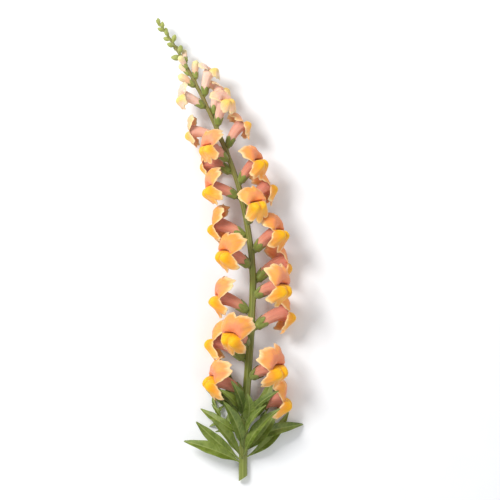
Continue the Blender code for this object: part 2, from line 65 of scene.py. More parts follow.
STEM_ROUTE = [
    Vector(p) * MM
    for p in (
        (0, -14, 4.1),
        (0, 6, 4.1),
        (1, 36, 7.5),
        (4, 86, 17),
        (8, 144, 25),
        (9, 208, 28),
        (-4, 282, 28),
        (-31, 352, 26),
        (-60, 410, 22),
        (-83, 446, 19),
    )
]
ROUTE_STEPS = 12
STEM_RADIUS_CUT = 4.4 * MM
STEM_RADIUS_TIP = 1.1 * MM
STEM_TAPER = 1.35
CUT_SLANT = math.radians(34)
CUT_INSET = 4 * MM

FIRST_BLOOM = 72 * MM
BLOOM_SPAN = 325 * MM
CROWDING = 0.25
BLOOM_TURNS = (
    84.5, -65.65, 53.2, -98.45, -37.05, 97.75, -83.35, 51.5,
    119.45, -54.75, 68.05, -101.05, 25.8, 108.65, -72.45, 54.35,
    -118.7, -43.85, 90.95, -94.15, 44.7, 119.55, -61.55, 73.25,
)  # fmt: skip
BLOOM_COUNT = len(BLOOM_TURNS)
BLOOM_SEED = 6050
BLOOM_SIZES = (1.2, 0.8)
BLOOM_SPREADS = (0.76, 0.86)
BLOOM_LIFTS = (math.radians(-4), math.radians(28))
TURN_START = math.radians(236)
PEDICEL_LENGTH = 5 * MM
PEDICEL_RADIUS = 1.2 * MM
PEDICEL_LEAN = math.radians(42)

TUBE_LINE = [Vector(p) * MM for p in ((-24, 0, -11), (-17.5, 0, -5), (-9, 0, -1.2), (-1.5, 0, 0))]
TUBE_PROFILE = ((0.0, 2.0), (0.08, 3.5), (0.25, 4.7), (0.5, 5.3), (0.75, 6.0), (1.0, 7.4))
MOUTH_RADIUS = 7.5 * MM
LOBE_REACH = (19.3, 21.8, 22.6, 21.6, 18, 13.2, 14.6, 19.5, 20.5, 17.6, 20.8)
WIDEST_REACH = 22.6 * MM
BEND_START = 3 * MM
UPPER_HOOD = 3.4 * MM
UPPER_REFLEX = 7 * MM
LOWER_THRUST = 2.2 * MM
LOWER_REFLEX = 5.5 * MM
LIP_SHORTENING = 0.12
SIDE_CURL_PER_M = 20
EDGE_WAVE = 0.7 * MM
PALATE_HEIGHT = 7.6 * MM
PALATE_HALF_WIDTH = 8.8 * MM
PALATE_DROP = 4.2 * MM
PALATE_FADE = 4.4 * MM
GROOVE_SHARE = 0.22
GROOVE_WIDTH = 1.7 * MM
CREASE_WIDTH = 0.9 * MM
CREASE_HEIGHT = 1.8 * MM
CREASE_BOW_PER_M = 14
YOUNG_REACH = 0.72
CRUMPLES_PER_M = 210

SEPALS = 5
CALYX_GAP = 0.4 * MM
SEPAL_THICKNESS = 0.75 * MM
CUP_RADIUS = 4.1 * MM
SEPAL_TIP = 0.30
SEPAL_NOTCH = 0.10

FLOWER_BUD_COUNT = 5
FIRST_FLOWER_BUD = 410 * MM
FLOWER_BUD_SPAN = 26 * MM
FLOWER_BUD_SIZES = (0.66, 0.46)
FLOWER_BUD_RINGS = ((0, 2.0), (0.06, 3.5), (0.3, 4.8), (0.6, 6.2), (0.86, 5.8), (1.0, 3.0))
FLOWER_BUD_NOSE = 1.8 * MM
FLOWER_BUD_LIFTS = (30, 40)
GREEN_BUD_COUNT = 13
FIRST_GREEN_BUD = 442 * MM
GREEN_BUD_LENGTHS = (9.5 * MM, 5.5 * MM)
GREEN_BUD_STALK = 1.6 * MM
GREEN_BUD_RINGS = ((0.0, 0.5), (0.3, 1.0), (0.65, 0.9), (0.9, 0.45), (1.0, 0.12))
GREEN_BUD_FATNESS = 0.33
GREEN_BUD_LEANS = (58, 12)

BRACT_LENGTH = 8 * MM
BRACT_WIDTH_SHARE = 0.3
BRACT_DROP = 1.5 * MM
BRACT_ROOT = 0.6 * MM

LEAF_NUMBERS = (1, 3, 4, 5, 7, 10, 12, 18, 20, 22, 28, 31, 33, 35, 36, 37, 38, 40)
LEAF_TRIES = 44
FIRST_LEAF = 20 * MM
LEAF_SPAN = 58 * MM
LEAF_TURN_START = math.radians(137)
LEAF_TURN_SHARE = 0.62
LEAF_SEED = 1875
LEAF_LENGTHS = (66 * MM, 46 * MM)
LEAF_WIDTH_SHARE = 0.2
LOWEST_BLADE = 0.78 * MM
LEAF_ROWS = 6
LEAF_OUTLINE = ((0.0, 0.07), (0.12, 0.3), (0.3, 0.85), (0.48, 1.0), (0.7, 0.8), (0.88, 0.4), (1.0, 0.07))
LEAF_FOLD = 0.35
LEAF_LEANS = (44, 72)
LEAF_DROOPS = (50, 110)
LEAF_CURL = 45
ROOT_GAP = 0.7 * MM
SHOOTS = ((36 * MM, -75, 60 * MM), (50 * MM, 86, 62 * MM))
SHOOT_SEED = 1740
SHOOT_RADIUS = 0.9 * MM
SHOOT_FIRST_LEAF = 1.5
SHOOT_STEPS = 6
SHOOT_LEAVES = 8
SHOOT_LEAF_LENGTHS = (21 * MM, 11 * MM)
SHOOT_LEAF_WIDTH_SHARE = 0.3

BloomHabit = namedtuple("BloomHabit", "place turn lift yaw roll size spread openness")


def srgb(red, green, blue):
    """A colour given as it looks on a screen, in 0 to 255, as Blender's properties hold it."""
    return (red / 255, green / 255, blue / 255)


def length_property(name, description, length):
    return FloatProperty(name=name, description=description, default=length, unit="LENGTH")


class StemSizes(bpy.types.PropertyGroup):
    petal_thickness: length_property("Petal thickness", "Wall of the lips", 0.4 * MM)
    ruffle: length_property("Ruffle", "How far the lips' edges wave", 0.85 * MM)
    crumple: length_property("Crumple", "Depth of the lips' soft dents", 1.1 * MM)
    mouth_depth: length_property("Mouth depth", "Depth of the line between the lips", 3.8 * MM)
    rib_depth: length_property("Rib depth", "Height of the stem's ridges", 0.22 * MM)
    leaf_thickness: length_property("Leaf thickness", "Wall of a leaf's blade", 0.45 * MM)
    vein_depth: length_property("Vein depth", "Relief of the leaf veins", 0.14 * MM)
    hair_length: length_property("Hair length", "Short hairs of the upper stem", 0.8 * MM)


def colour_property(name, description, colour):
    return FloatVectorProperty(
        name=name, description=description, default=colour, size=3, min=0, max=1, subtype="COLOR_GAMMA"
    )


class StemColours(bpy.types.PropertyGroup):
    upper_lip: colour_property("Upper lip", "Peach of the upper lip", srgb(248, 168, 76))
    blush: colour_property("Blush", "Pink that tints the upper lip", srgb(234, 142, 104))
    amber: colour_property("Amber", "Deep orange of some blooms in the middle", srgb(228, 134, 44))
    lower_lip: colour_property("Lower lip", "Golden peach of the lower lip", srgb(250, 188, 84))
    rim: colour_property("Rim", "Cream edge of the lips", srgb(255, 222, 166))
    palate: colour_property("Palate", "Yellow of the two humps", srgb(246, 182, 0))
    # Painted shade in the groove between the humps, with darker orange towards their sides and along
    # streaks
    palate_orange_and_shade: colour_property("Palate shade", "Orange round the humps", srgb(230, 130, 8))
    # Painted shade: the dark reddish line in the crease where the lips meet
    mouth_crease_shade: colour_property("Mouth line", "Reddish line where the lips meet", srgb(176, 74, 44))
    tube: colour_property("Tube", "Rose of the flower's tube and back", srgb(212, 132, 108))
    tube_vein: colour_property("Tube vein", "Mauve veins of the tube", srgb(178, 84, 82))
    tube_base: colour_property("Tube base", "Paler foot of the tube", srgb(230, 172, 136))
    young_lip: colour_property("Young lip", "Pale pink of the young blooms", srgb(240, 205, 184))
    young_palate: colour_property("Young palate", "Lemon of the young palates", srgb(236, 204, 120))
    bud: colour_property("Bud", "Cream of the closed buds", srgb(226, 212, 150))
    bud_blush: colour_property("Bud blush", "Peach of the larger closed buds", srgb(236, 190, 150))
    stem: colour_property("Stem", "Olive of the stem", srgb(120, 128, 54))
    # Painted highlight: the paler crests of the stem's ridges
    stem_ridge_highlight: colour_property("Stem light", "Paler ridges of the stem", srgb(152, 160, 86))
    stem_brown: colour_property("Stem brown", "Brownish upper stem", srgb(124, 104, 54))
    pith: colour_property("Pith", "Pale middle of the cut end", srgb(206, 214, 160))
    calyx: colour_property("Calyx", "Green of the sepals and bracts", srgb(124, 136, 54))
    green_bud: colour_property("Green bud", "Light green of the tip", srgb(170, 174, 92))
    leaf: colour_property("Leaf", "Green of a leaf's upper face", srgb(86, 106, 34))
    leaf_light: colour_property("Leaf light", "Veins and underside of a leaf", srgb(146, 158, 84))
    leaf_shade: colour_property("Leaf shade", "Dark patches of a leaf", srgb(56, 76, 20))
    leaf_yellow: colour_property("Leaf yellow", "Tint of the yellower leaves", srgb(142, 156, 40))


def sizes():
    return bpy.context.scene.snapdragon_sizes


def colour(name):
    """A colour of the property group as the linear values that shaders take, with alpha."""
    values = getattr(bpy.context.scene.snapdragon_colours, name)
    linear = [v / 12.92 if v <= 0.04045 else ((v + 0.055) / 1.055) ** 2.4 for v in values]
    return (*linear, 1)


# Curves and interpolation

CORNER_ROUNDING = 0.035
ROUNDING_STEPS = (-1.5, -0.5, 0.5, 1.5)


def mix(a, b, share):
    return a + (b - a) * share


def smooth_share(value, low, high):
    share = min(1, max(0, (value - low) / (high - low)))
    return share * share * (3 - 2 * share)


def bell(distance, width):
    """1 at a distance of 0, falling off smoothly over width on both sides."""
    return math.exp(-((distance / width) ** 2))


def catmull(a, b, c, d, t):
    """A point between b and c on the smooth curve through a, b, c and d."""
    return 0.5 * (2 * b + (c - a) * t + (2 * a - 5 * b + 4 * c - d) * t**2 + (3 * b - a - 3 * c + d) * t**3)


def smooth_line(points, steps):
    ends = [2 * points[0] - points[1], *points, 2 * points[-1] - points[-2]]
    line = [
        catmull(*ends[k : k + 4], step / steps) for k in range(len(points) - 1) for step in range(steps)
    ]
    return line + [points[-1].copy()]


def table_value(table, x):
    """Linear reading of a table of (x, value) rows."""
    for (x0, y0), (x1, y1) in zip(table, table[1:]):
        if x <= x1:
            return mix(y0, y1, (x - x0) / (x1 - x0))
    return table[-1][1]


def rounded_value(table, x):
    """Reading of a table with its corners rounded off: the mean of some readings round x."""
    spots = [min(1, max(0, x + CORNER_ROUNDING * step)) for step in ROUNDING_STEPS]
    return sum(table_value(table, spot) for spot in spots) / len(spots)


def bezier(points, t):
    a, b, c, d = points
    return a * (1 - t) ** 3 + b * 3 * t * (1 - t) ** 2 + c * 3 * t**2 * (1 - t) + d * t**3


def bezier_slope(points, t):
    a, b, c, d = points
    return ((b - a) * (1 - t) ** 2 + (c - b) * 2 * t * (1 - t) + (d - c) * t**2).normalized()


def wrapped(angle):
    return (angle + math.pi) % TURN - math.pi


def swing(draw, degrees):
    """A random angle of up to some degrees either way."""
    return math.radians(draw.uniform(-degrees, degrees))


# Stem line and frames

STEM_LINE = smooth_line(STEM_ROUTE, ROUTE_STEPS)
STEM_PLACES = [0.0]
for start, end in zip(STEM_LINE, STEM_LINE[1:]):
    STEM_PLACES.append(STEM_PLACES[-1] + (end - start).length)
STEM_LENGTH = STEM_PLACES[-1]


def stem_frame(place):
    """Point, direction, upward and sideways vectors of the stem at a distance from its cut end."""
    k = max(j for j in range(len(STEM_PLACES) - 1) if STEM_PLACES[j] <= max(0, place))
    share = (place - STEM_PLACES[k]) / (STEM_PLACES[k + 1] - STEM_PLACES[k])
    point = mix(STEM_LINE[k], STEM_LINE[k + 1], share)
    before = STEM_LINE[max(0, k - 1)]
    after = STEM_LINE[min(len(STEM_LINE) - 1, k + 2)]
    along = (after - before).normalized()
    upward = (UP - along * along.z).normalized()
    return point, along, upward, along.cross(upward)


def stem_radius(place):
    return mix(STEM_RADIUS_CUT, STEM_RADIUS_TIP, (place / STEM_LENGTH) ** STEM_TAPER)


def outward(upward, side, turn):
    """The direction away from the stem at an angle round it, which is 0 on top."""
    return upward * math.cos(turn) + side * math.sin(turn)


# Making pieces


def mesh_of(made, name):
    """The mesh that a finished bmesh leaves."""
    mesh = bpy.data.meshes.new(name)
    made.to_mesh(mesh)
    made.free()
    return mesh


def in_scene(name, data):
    """A new object of the scene."""
    item = bpy.data.objects.new(name, data)
    bpy.context.scene.collection.objects.link(item)
    return item


def lofted(name, columns, rings, place):
    """A closed skin: place(column, ring) gives a point, and a dict of values for the material.

    Ring 0 and the last ring are single points. The skin starts as a UV sphere.
    """
    made = bmesh.new()
    bmesh.ops.create_uvsphere(made, u_segments=columns, v_segments=rings, radius=1)
    told = []
    for vert in made.verts:
        ring = round(math.acos(max(-1, min(1, vert.co.z))) / math.pi * rings)
        column = round(math.atan2(vert.co.x, vert.co.y) / TURN * columns) % columns
        vert.co, values = place(column, ring)
        told.append(values)
    bmesh.ops.recalc_face_normals(made, faces=made.faces)
    if made.calc_volume(signed=True) < 0:
        bmesh.ops.reverse_faces(made, faces=made.faces)
    mesh = mesh_of(made, name)
    for key, first in told[0].items():
        if isinstance(first, Vector):
            layer = mesh.attributes.new(key, "FLOAT_VECTOR", "POINT")
            layer.data.foreach_set("vector", [x for values in told for x in values[key]])
        else:
            layer = mesh.attributes.new(key, "FLOAT", "POINT")
            layer.data.foreach_set("value", [values[key] for values in told])
    mesh.shade_smooth()
    return mesh


def shown(name, meshes, material, slot, *nodes):
    """One piece from one or more meshes, which rides on the root and stands for CAD nodes."""
    parts = [in_scene(name, mesh) for mesh in meshes]
    for part in parts:
        part.data.materials.append(material)
    piece = parts[0]
    if len(parts) > 1:
        with bpy.context.temp_override(
            active_object=piece, object=piece, selected_objects=parts, selected_editable_objects=parts
        ):
            bpy.ops.object.join()
    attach(piece, "root")
    if nodes:
        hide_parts(*nodes)
    return piece


# Materials


class Finish:
    """A material on the Principled shader, with short ways to add and link its nodes."""

    def __init__(self, name, **constants):
        self.material = bpy.data.materials.new(name)
        self.material.use_nodes = True
        self.tree = self.material.node_tree
        self.shader = self.tree.nodes["Principled BSDF"]
        for socket, value in constants.items():
            self.shader.inputs[socket.replace("_", " ")].default_value = value

    def add(self, kind, settings=None, inputs=None):
        node = self.tree.nodes.new(kind)
        for key, value in (settings or {}).items():
            setattr(node, key, value)
        for key, value in (inputs or {}).items():
            if isinstance(value, bpy.types.NodeSocket):
                self.tree.links.new(value, node.inputs[key])
            else:
                node.inputs[key].default_value = value
        return node

    def value(self, name):
        return self.add("ShaderNodeAttribute", {"attribute_name": name}).outputs["Fac"]

    def vector(self, name):
        return self.add("ShaderNodeAttribute", {"attribute_name": name}).outputs["Vector"]

    def spot(self):
        return self.add("ShaderNodeTexCoord").outputs["Object"]

    def math(self, operation, a, b, limited=False):
        settings = {"operation": operation, "use_clamp": limited}
        return self.add("ShaderNodeMath", settings, {0: a, 1: b}).outputs[0]

    def product(self, value, *factors):
        for factor in factors:
            value = self.math("MULTIPLY", value, factor)
        return value

    def total(self, value, *others):
        """The sum of the values, held between 0 and 1."""
        for other in others[:-1]:
            value = self.math("ADD", value, other)
        return self.math("ADD", value, others[-1], True)

    def stretched(self, vector, scale):
        return self.add("ShaderNodeMapping", inputs={"Vector": vector, "Scale": scale}).outputs[0]

    def noise(self, vector, scale, detail=3.0, roughness=0.5):
        inputs = {"Vector": vector, "Scale": scale, "Detail": detail, "Roughness": roughness}
        return self.add("ShaderNodeTexNoise", inputs=inputs).outputs[0]

    def ranged(self, value, low, high, to_low=0.0, to_high=1.0):
        """The value read on a smooth slope from low to high."""
        inputs = {0: value, 1: low, 2: high, 3: to_low, 4: to_high}
        return self.add("ShaderNodeMapRange", {"interpolation_type": "SMOOTHSTEP"}, inputs).outputs[0]

    def blend(self, share, a, b, way="MIX"):
        settings = {"data_type": "RGBA", "blend_type": way, "clamp_factor": True}
        return self.add("ShaderNodeMix", settings, {0: share, 6: a, 7: b}).outputs[2]

    def tinted(self, skin, name, value, low, high, most=1.0):
        """The skin with a named colour over it, the more of it the nearer the value is to high."""
        return self.blend(self.ranged(value, low, high, 0.0, most), skin, colour(name))

    def gloss(self, value, shiny, dull):
        """Roughness that goes with a noise from shiny to dull."""
        return self.ranged(value, 0.3, 0.7, shiny, dull)

    def bump(self, height, distance, strength=0.6, under=None):
        inputs = {"Height": height, "Distance": distance, "Strength": strength}
        if under:
            inputs["Normal"] = under
        return self.add("ShaderNodeBump", inputs=inputs).outputs[0]

    def done(self, **links):
        for socket, source in links.items():
            self.tree.links.new(source, self.shader.inputs[socket.replace("_", " ")])
        return self.material


CELLS_PER_M = 2200
CELL_RELIEF_STRENGTH = 0.5


def finish_petals(name):
    """Velvety petal: lips, palate and tube in their own colours, paler when young, with fine veins."""
    petal = Finish(
        name,
        Subsurface_Weight=0.2,
        Subsurface_Radius=(1.0, 0.45, 0.2),
        Subsurface_Scale=0.0014,
        Sheen_Weight=0.18,
        Sheen_Roughness=0.4,
        Specular_IOR_Level=0.35,
    )
    out, upper, youth = petal.value("out"), petal.value("upper"), petal.value("youth")
    front, above, wide = petal.value("front"), petal.value("above"), petal.value("wide")
    tube, blush, around = petal.value("tube"), petal.value("blush"), petal.vector("around")
    spot = petal.spot()
    streaks = petal.noise(petal.stretched(around, (1, 1, 0.14)), 17, 4, 0.6)
    veins = petal.noise(petal.stretched(around, (1, 1, 0.05)), 34, 2, 0.5)
    clouds = petal.noise(spot, 90, 2)

    # Pinker towards the mouth: partly the upper lip's blush and partly painted shade low on the lip by the
    # mouth
    throat_blush_and_shade = petal.ranged(out, 0.65, 0.15, 0.0, 0.85)
    pink = petal.total(throat_blush_and_shade, blush, petal.ranged(clouds, 0.35, 0.7, -0.25, 0.35))
    upper_skin = petal.blend(pink, colour("upper_lip"), colour("blush"))
    peach = petal.total(petal.ranged(clouds, 0.35, 0.7, 0.0, 0.6), blush)
    lower_skin = petal.blend(peach, colour("lower_lip"), colour("upper_lip"))
    lips = petal.blend(upper, lower_skin, upper_skin)
    lips = petal.blend(petal.value("amber"), lips, colour("amber"))
    lips = petal.tinted(lips, "rim", out, 0.78, 1.0, 0.8)

    tube_skin = petal.tinted(colour("tube_base"), "tube", tube, 0.05, 0.6)
    tube_skin = petal.tinted(tube_skin, "tube_base", streaks, 0.48, 0.66, 0.45)
    tube_skin = petal.tinted(tube_skin, "tube_vein", veins, 0.54, 0.64, 0.45)
    back = petal.blend(petal.ranged(out, 0.05, 0.8, 0.0, 0.8), tube_skin, lips)
    grown = petal.blend(front, back, lips)
    grown = petal.tinted(grown, "blush", streaks, 0.5, 0.7, 0.32)
    grown = petal.tinted(grown, "tube", veins, 0.56, 0.66, 0.4)
    young = petal.tinted(colour("young_lip"), "blush", streaks, 0.45, 0.7, 0.45)
    young = petal.tinted(young, "bud", out, 0.5, 1.0, 0.6)
    skin = petal.blend(youth, grown, young)

    frayed = petal.math("ADD", above, petal.ranged(veins, 0.3, 0.7, -2.5, 2.5))
    yellow = petal.product(petal.ranged(above, 0.2, -0.25), petal.ranged(frayed, -13.0, -7.5))
    yellow = petal.product(yellow, petal.ranged(wide, 11.5, 8.0), front)
    # Painted shade in the groove between the humps; darker orange towards their sides and along streaks
    groove, sides = petal.ranged(wide, 2.0, 0.2, 0.0, 0.4), petal.ranged(wide, 5.5, 10.0, 0.0, 0.6)
    shade = petal.total(groove, sides, petal.ranged(streaks, 0.5, 0.75, 0.0, 0.4))
    hump = petal.blend(shade, colour("palate"), colour("palate_orange_and_shade"))
    hump = petal.blend(petal.product(youth, 0.95), hump, colour("young_palate"))
    skin = petal.blend(yellow, skin, hump)
    # Painted shade: a dark reddish line along the crease where the upper lip meets the palate, on the front
    # only
    line = petal.product(petal.ranged(above, -0.7, 0.0), petal.ranged(above, 1.6, 0.1))
    line = petal.product(line, petal.ranged(wide, 9.5, 6.5), front, 0.75)
    skin = petal.blend(line, skin, colour("mouth_crease_shade"))

    relief = petal.bump(streaks, 0.3 * MM)
    relief = petal.bump(veins, 0.12 * MM, under=relief)
    relief = petal.bump(petal.noise(spot, CELLS_PER_M, 2), 0.08 * MM, CELL_RELIEF_STRENGTH, relief)
    return petal.done(Base_Color=skin, Roughness=petal.gloss(clouds, 0.5, 0.66), Normal=relief)


def finish_buds(name):
    """Closed buds: pale pink at the foot to cream at the tip, peach low on the larger ones, with faint
    greenish lengthwise veins.
    """
    bud = Finish(
        name,
        Subsurface_Weight=0.2,
        Subsurface_Radius=(1.0, 0.6, 0.3),
        Subsurface_Scale=0.0014,
        Sheen_Weight=0.2,
        Specular_IOR_Level=0.35,
    )
    length, age, around = bud.value("length"), bud.value("age"), bud.vector("around")
    streaks = bud.noise(bud.stretched(around, (1, 1, 0.3)), 12, 3, 0.55)
    skin = bud.tinted(colour("young_lip"), "bud", length, 0.3, 0.95)
    skin = bud.blend(bud.product(age, bud.ranged(length, 0.9, 0.3)), skin, colour("bud_blush"))
    skin = bud.tinted(skin, "green_bud", streaks, 0.52, 0.75, 0.4)
    relief = bud.bump(streaks, 0.2 * MM)
    relief = bud.bump(bud.noise(bud.spot(), CELLS_PER_M, 2), 0.06 * MM, CELL_RELIEF_STRENGTH, relief)
    return bud.done(Base_Color=skin, Roughness=bud.gloss(streaks, 0.5, 0.62), Normal=relief)


def finish_stem(name):
    """Olive stem skin with a painted highlight on its ridges, browner towards the top, and a pale pith at
    the cut.
    """
    stem = Finish(
        name,
        Subsurface_Weight=0.06,
        Subsurface_Radius=(0.6, 0.8, 0.2),
        Subsurface_Scale=0.001,
        Specular_IOR_Level=0.45,
    )
    height, ridge, cut = stem.value("height"), stem.value("ridge"), stem.value("cut")
    spot = stem.spot()
    grain = stem.noise(stem.stretched(spot, (1, 0.12, 1)), 1500, 3, 0.6)
    clouds = stem.noise(spot, 60, 3)
    brown = stem.total(stem.ranged(height, 0.3, 0.75, 0.0, 0.85), stem.ranged(clouds, 0.4, 0.7, -0.2, 0.25))
    skin = stem.blend(brown, colour("stem"), colour("stem_brown"))
    # Painted highlight on the crests of the ridges
    skin = stem.tinted(skin, "stem_ridge_highlight", ridge, 0.1, 0.9, 0.5)
    skin = stem.tinted(skin, "calyx", grain, 0.35, 0.7, 0.4)
    wood = stem.tinted(colour("pith"), "green_bud", cut, 0.62, 0.9)
    skin = stem.blend(stem.ranged(cut, 0.0, 0.02), skin, wood)
    relief = stem.bump(grain, 0.15 * MM)
    return stem.done(Base_Color=skin, Roughness=stem.gloss(grain, 0.38, 0.55), Normal=relief)


def finish_green(name):
    """Sepals, bracts and green buds: soft green, lighter at their tips."""
    green = Finish(
        name,
        Subsurface_Weight=0.12,
        Subsurface_Radius=(0.5, 0.9, 0.2),
        Subsurface_Scale=0.001,
        Sheen_Weight=0.25,
        Specular_IOR_Level=0.35,
    )
    spot = green.spot()
    clouds = green.noise(spot, 260, 3)
    skin = green.blend(green.value("pale"), colour("calyx"), colour("green_bud"))
    skin = green.tinted(skin, "leaf_light", green.value("tip"), 0.5, 1.0, 0.5)
    skin = green.tinted(skin, "leaf", clouds, 0.4, 0.7, 0.3)
    relief = green.bump(green.noise(spot, 1800, 3), 0.12 * MM)
    return green.done(Base_Color=skin, Roughness=green.gloss(clouds, 0.45, 0.6), Normal=relief)


def finish_leaves(name):
    """Leaf blade: dark upper face, paler veins and underside, some leaves yellower."""
    leaf = Finish(
        name,
        Subsurface_Weight=0.1,
        Subsurface_Radius=(0.4, 0.9, 0.1),
        Subsurface_Scale=0.0008,
        Specular_IOR_Level=0.5,
    )
    spot = leaf.spot()
    clouds = leaf.noise(spot, 120, 3)
    net = leaf.add("ShaderNodeTexVoronoi", {"feature": "DISTANCE_TO_EDGE"}, {"Vector": spot, "Scale": 1100})
    net = leaf.ranged(net.outputs["Distance"], 0.12, 0.0)
    skin = leaf.blend(leaf.value("yellow"), colour("leaf"), colour("leaf_yellow"))
    skin = leaf.tinted(skin, "leaf_light", clouds, 0.35, 0.7, 0.4)
    skin = leaf.tinted(skin, "leaf_shade", clouds, 0.55, 0.25, 0.5)
    for value, share in ((net, 0.14), (leaf.value("under"), 0.6)):
        skin = leaf.blend(leaf.product(value, share), skin, colour("leaf_light"))
    skin = leaf.tinted(skin, "leaf_light", leaf.value("vein"), 0.15, 0.85, 0.85)
    relief = leaf.bump(leaf.noise(spot, 1500, 3), 0.12 * MM)
    relief = leaf.bump(net, -0.03 * MM, CELL_RELIEF_STRENGTH, relief)
    return leaf.done(Base_Color=skin, Roughness=leaf.gloss(clouds, 0.44, 0.58), Normal=relief)


def finish_hairs(name):
    """Pale, slightly mottled hairs."""
    hair = Finish(name, Specular_IOR_Level=0.4)
    speckle = hair.noise(hair.spot(), 700, 2)
    skin = hair.blend(speckle, colour("pith"), colour("leaf_light"))
    return hair.done(Base_Color=skin, Roughness=hair.gloss(speckle, 0.35, 0.5))


def finish_floor(name):
    """A smooth, nearly white surface."""
    floor = Finish(name, Specular_IOR_Level=0.2)
    grain = floor.noise(floor.spot(), 30, 2)
    skin = floor.blend(grain, (0.86, 0.86, 0.865, 1), (0.9, 0.9, 0.9, 1))
    return floor.done(Base_Color=skin, Roughness=floor.gloss(grain, 0.75, 0.85))


FINISHES = {
    "petal_skin": finish_petals,
    "bud_skin": finish_buds,
    "stem_skin": finish_stem,
    "sepal_skin": finish_green,
    "leaf_skin": finish_leaves,
    "hair_skin": finish_hairs,
    "pale_floor": finish_floor,
}


def shared(name):
    """The material of that name, made only once."""
    return bpy.data.materials.get(name) or FINISHES[name](name)


# Blooms

BLOOM_COLUMNS = 96
TUBE_SHARES = (0.015, 0.04, 0.07, 0.11, 0.17, 0.24, 0.32, 0.41, 0.5, 0.59, 0.68, 0.77, 0.86, 0.94)
BACK_RINGS = 11
FRONT_RINGS = 14
MOUTH_RINGS = 10
BLOOM_RINGS = (
    [("foot", 0)]
    + [("tube", share) for share in TUBE_SHARES]
    + [("back", k / BACK_RINGS) for k in range(BACK_RINGS + 1)]
    + [("front", 1 - k / FRONT_RINGS) for k in range(FRONT_RINGS + 1)]
    + [("mouth", 1 - k / MOUTH_RINGS) for k in range(1, MOUTH_RINGS + 1)]
)

# A dent has a place among the values of LOBE_REACH, a depth in millimetres and a width
LOBE_NOTCHES = ((0, 1.3, 0.35), (5.3, 2.2, 0.4), (8.9, 2.2, 0.28))
LOBE_FOLDS = ((0, 0.7, 0.7), (8.9, 1.3, 0.4), (5.3, 0.8, 0.5))

# A wave has a number of crests in a turn, and a height
RUFFLES = ((9, 1), (17, 0.7), (31, 0.35))
SCALLOPS = ((27, 0.014), (13, 0.018))
TUBE_RIBS = ((5, 0.018), (9, 0.01))
TUBE_RIB_STARTS = (0.5 + math.pi / 2, 0)
LOPSIDEDNESS = 0.03
UPPER_RUFFLE = 0.8
LOWER_RUFFLE = 1.25
EDGE_CRESTS = 5
EDGE_START_BY_SPREAD = 40

# Shares of the way from the bend to the edge, between which a form of the lips sets in
SPREAD_SETS_IN = (0, 0.7)
FOLDS_SET_IN = (0.15, 0.7)
CRUMPLES_SET_IN = (0.1, 0.6)

# Sines of the angles between which the lower lip passes into the upper lip
LIPS_MEET = (-0.25, 0.35)
LIP_COLOURS_MEET = (-0.1, 0.15)

# Random spans of one bloom, with angles in degrees, and what changes with its age
LIFT_SWING = 6
YAW_SWING = 8
ROLL_SWING = 9
SIZE_SWING = (0.97, 1.03)
CLOSING_FROM = 0.7
YOUNG_OPENNESS = 0.45
PALE_FROM = 0.66
BLUSHES = (-0.4, 0.3)
BLUSH_BY_AGE = 0.3
AMBERS = (0, 0.6)
AMBER_AGE = 0.45
AMBER_AGE_SPAN = 0.35
SOFT_HEIGHT = 3 * MM


def tube_radius(share):
    return rounded_value(TUBE_PROFILE, share) * MM


def ring_round_tube(theta, share, radius):
    """A point on a circle round the tube's centre line, with theta measured from its side."""
    slope = bezier_slope(TUBE_LINE, share)
    upright = Vector((-slope.z, 0, slope.x))
    level = Vector((0, 1, 0))
    return bezier(TUBE_LINE, share) + (level * math.cos(theta) + upright * math.sin(theta)) * radius


def lobe_spot(theta):
    """Where a direction lies among the 11 values of LOBE_REACH, from top to bottom."""
    return abs(wrapped(math.pi / 2 - theta)) / math.pi * (len(LOBE_REACH) - 1)


def dents(table, spot):
    """How deep the dents of a table are at a spot, in millimetres."""
    return sum(depth * bell(spot - place, width) for place, depth, width in table)


def ripple(table, theta, starts):
    """How high the waves of a table stand together at theta."""
    return sum(height * math.sin(crests * theta + start) for (crests, height), start in zip(table, starts))


def lobe_reach(theta):
    """How far the lips reach, with a notch on top, at the sides and between the lower lobes."""
    last = len(LOBE_REACH) - 1
    spot = lobe_spot(theta)
    k = min(int(spot), last - 1)
    value = [LOBE_REACH[abs(n) if n <= last else 2 * last - n] for n in range(k - 1, k + 3)]
    return (catmull(*value, spot - k) - dents(LOBE_NOTCHES, spot)) * MM


def above_crease(y, z):
    """How far a point lies above the bowed line where the lips meet."""
    return z - CREASE_HEIGHT + CREASE_BOW_PER_M * y * y


def mouth_relief(y, z):
    """The grooved palate that closes the mouth, under the crease where the lips meet."""
    above = above_crease(y, z)
    drop = CREASE_HEIGHT + PALATE_DROP
    from_top = (above + drop) / drop
    if from_top > 0:
        level = math.sqrt(max(0, 1 - from_top**2))
    else:
        level = math.exp(-((from_top * drop / PALATE_FADE) ** 2) / 2)
    width = math.exp(-((y / PALATE_HALF_WIDTH) ** 4))
    palate = PALATE_HEIGHT * level * (width - GROOVE_SHARE * bell(y, GROOVE_WIDTH))
    return palate - sizes().mouth_depth * width * bell(above, CREASE_WIDTH)


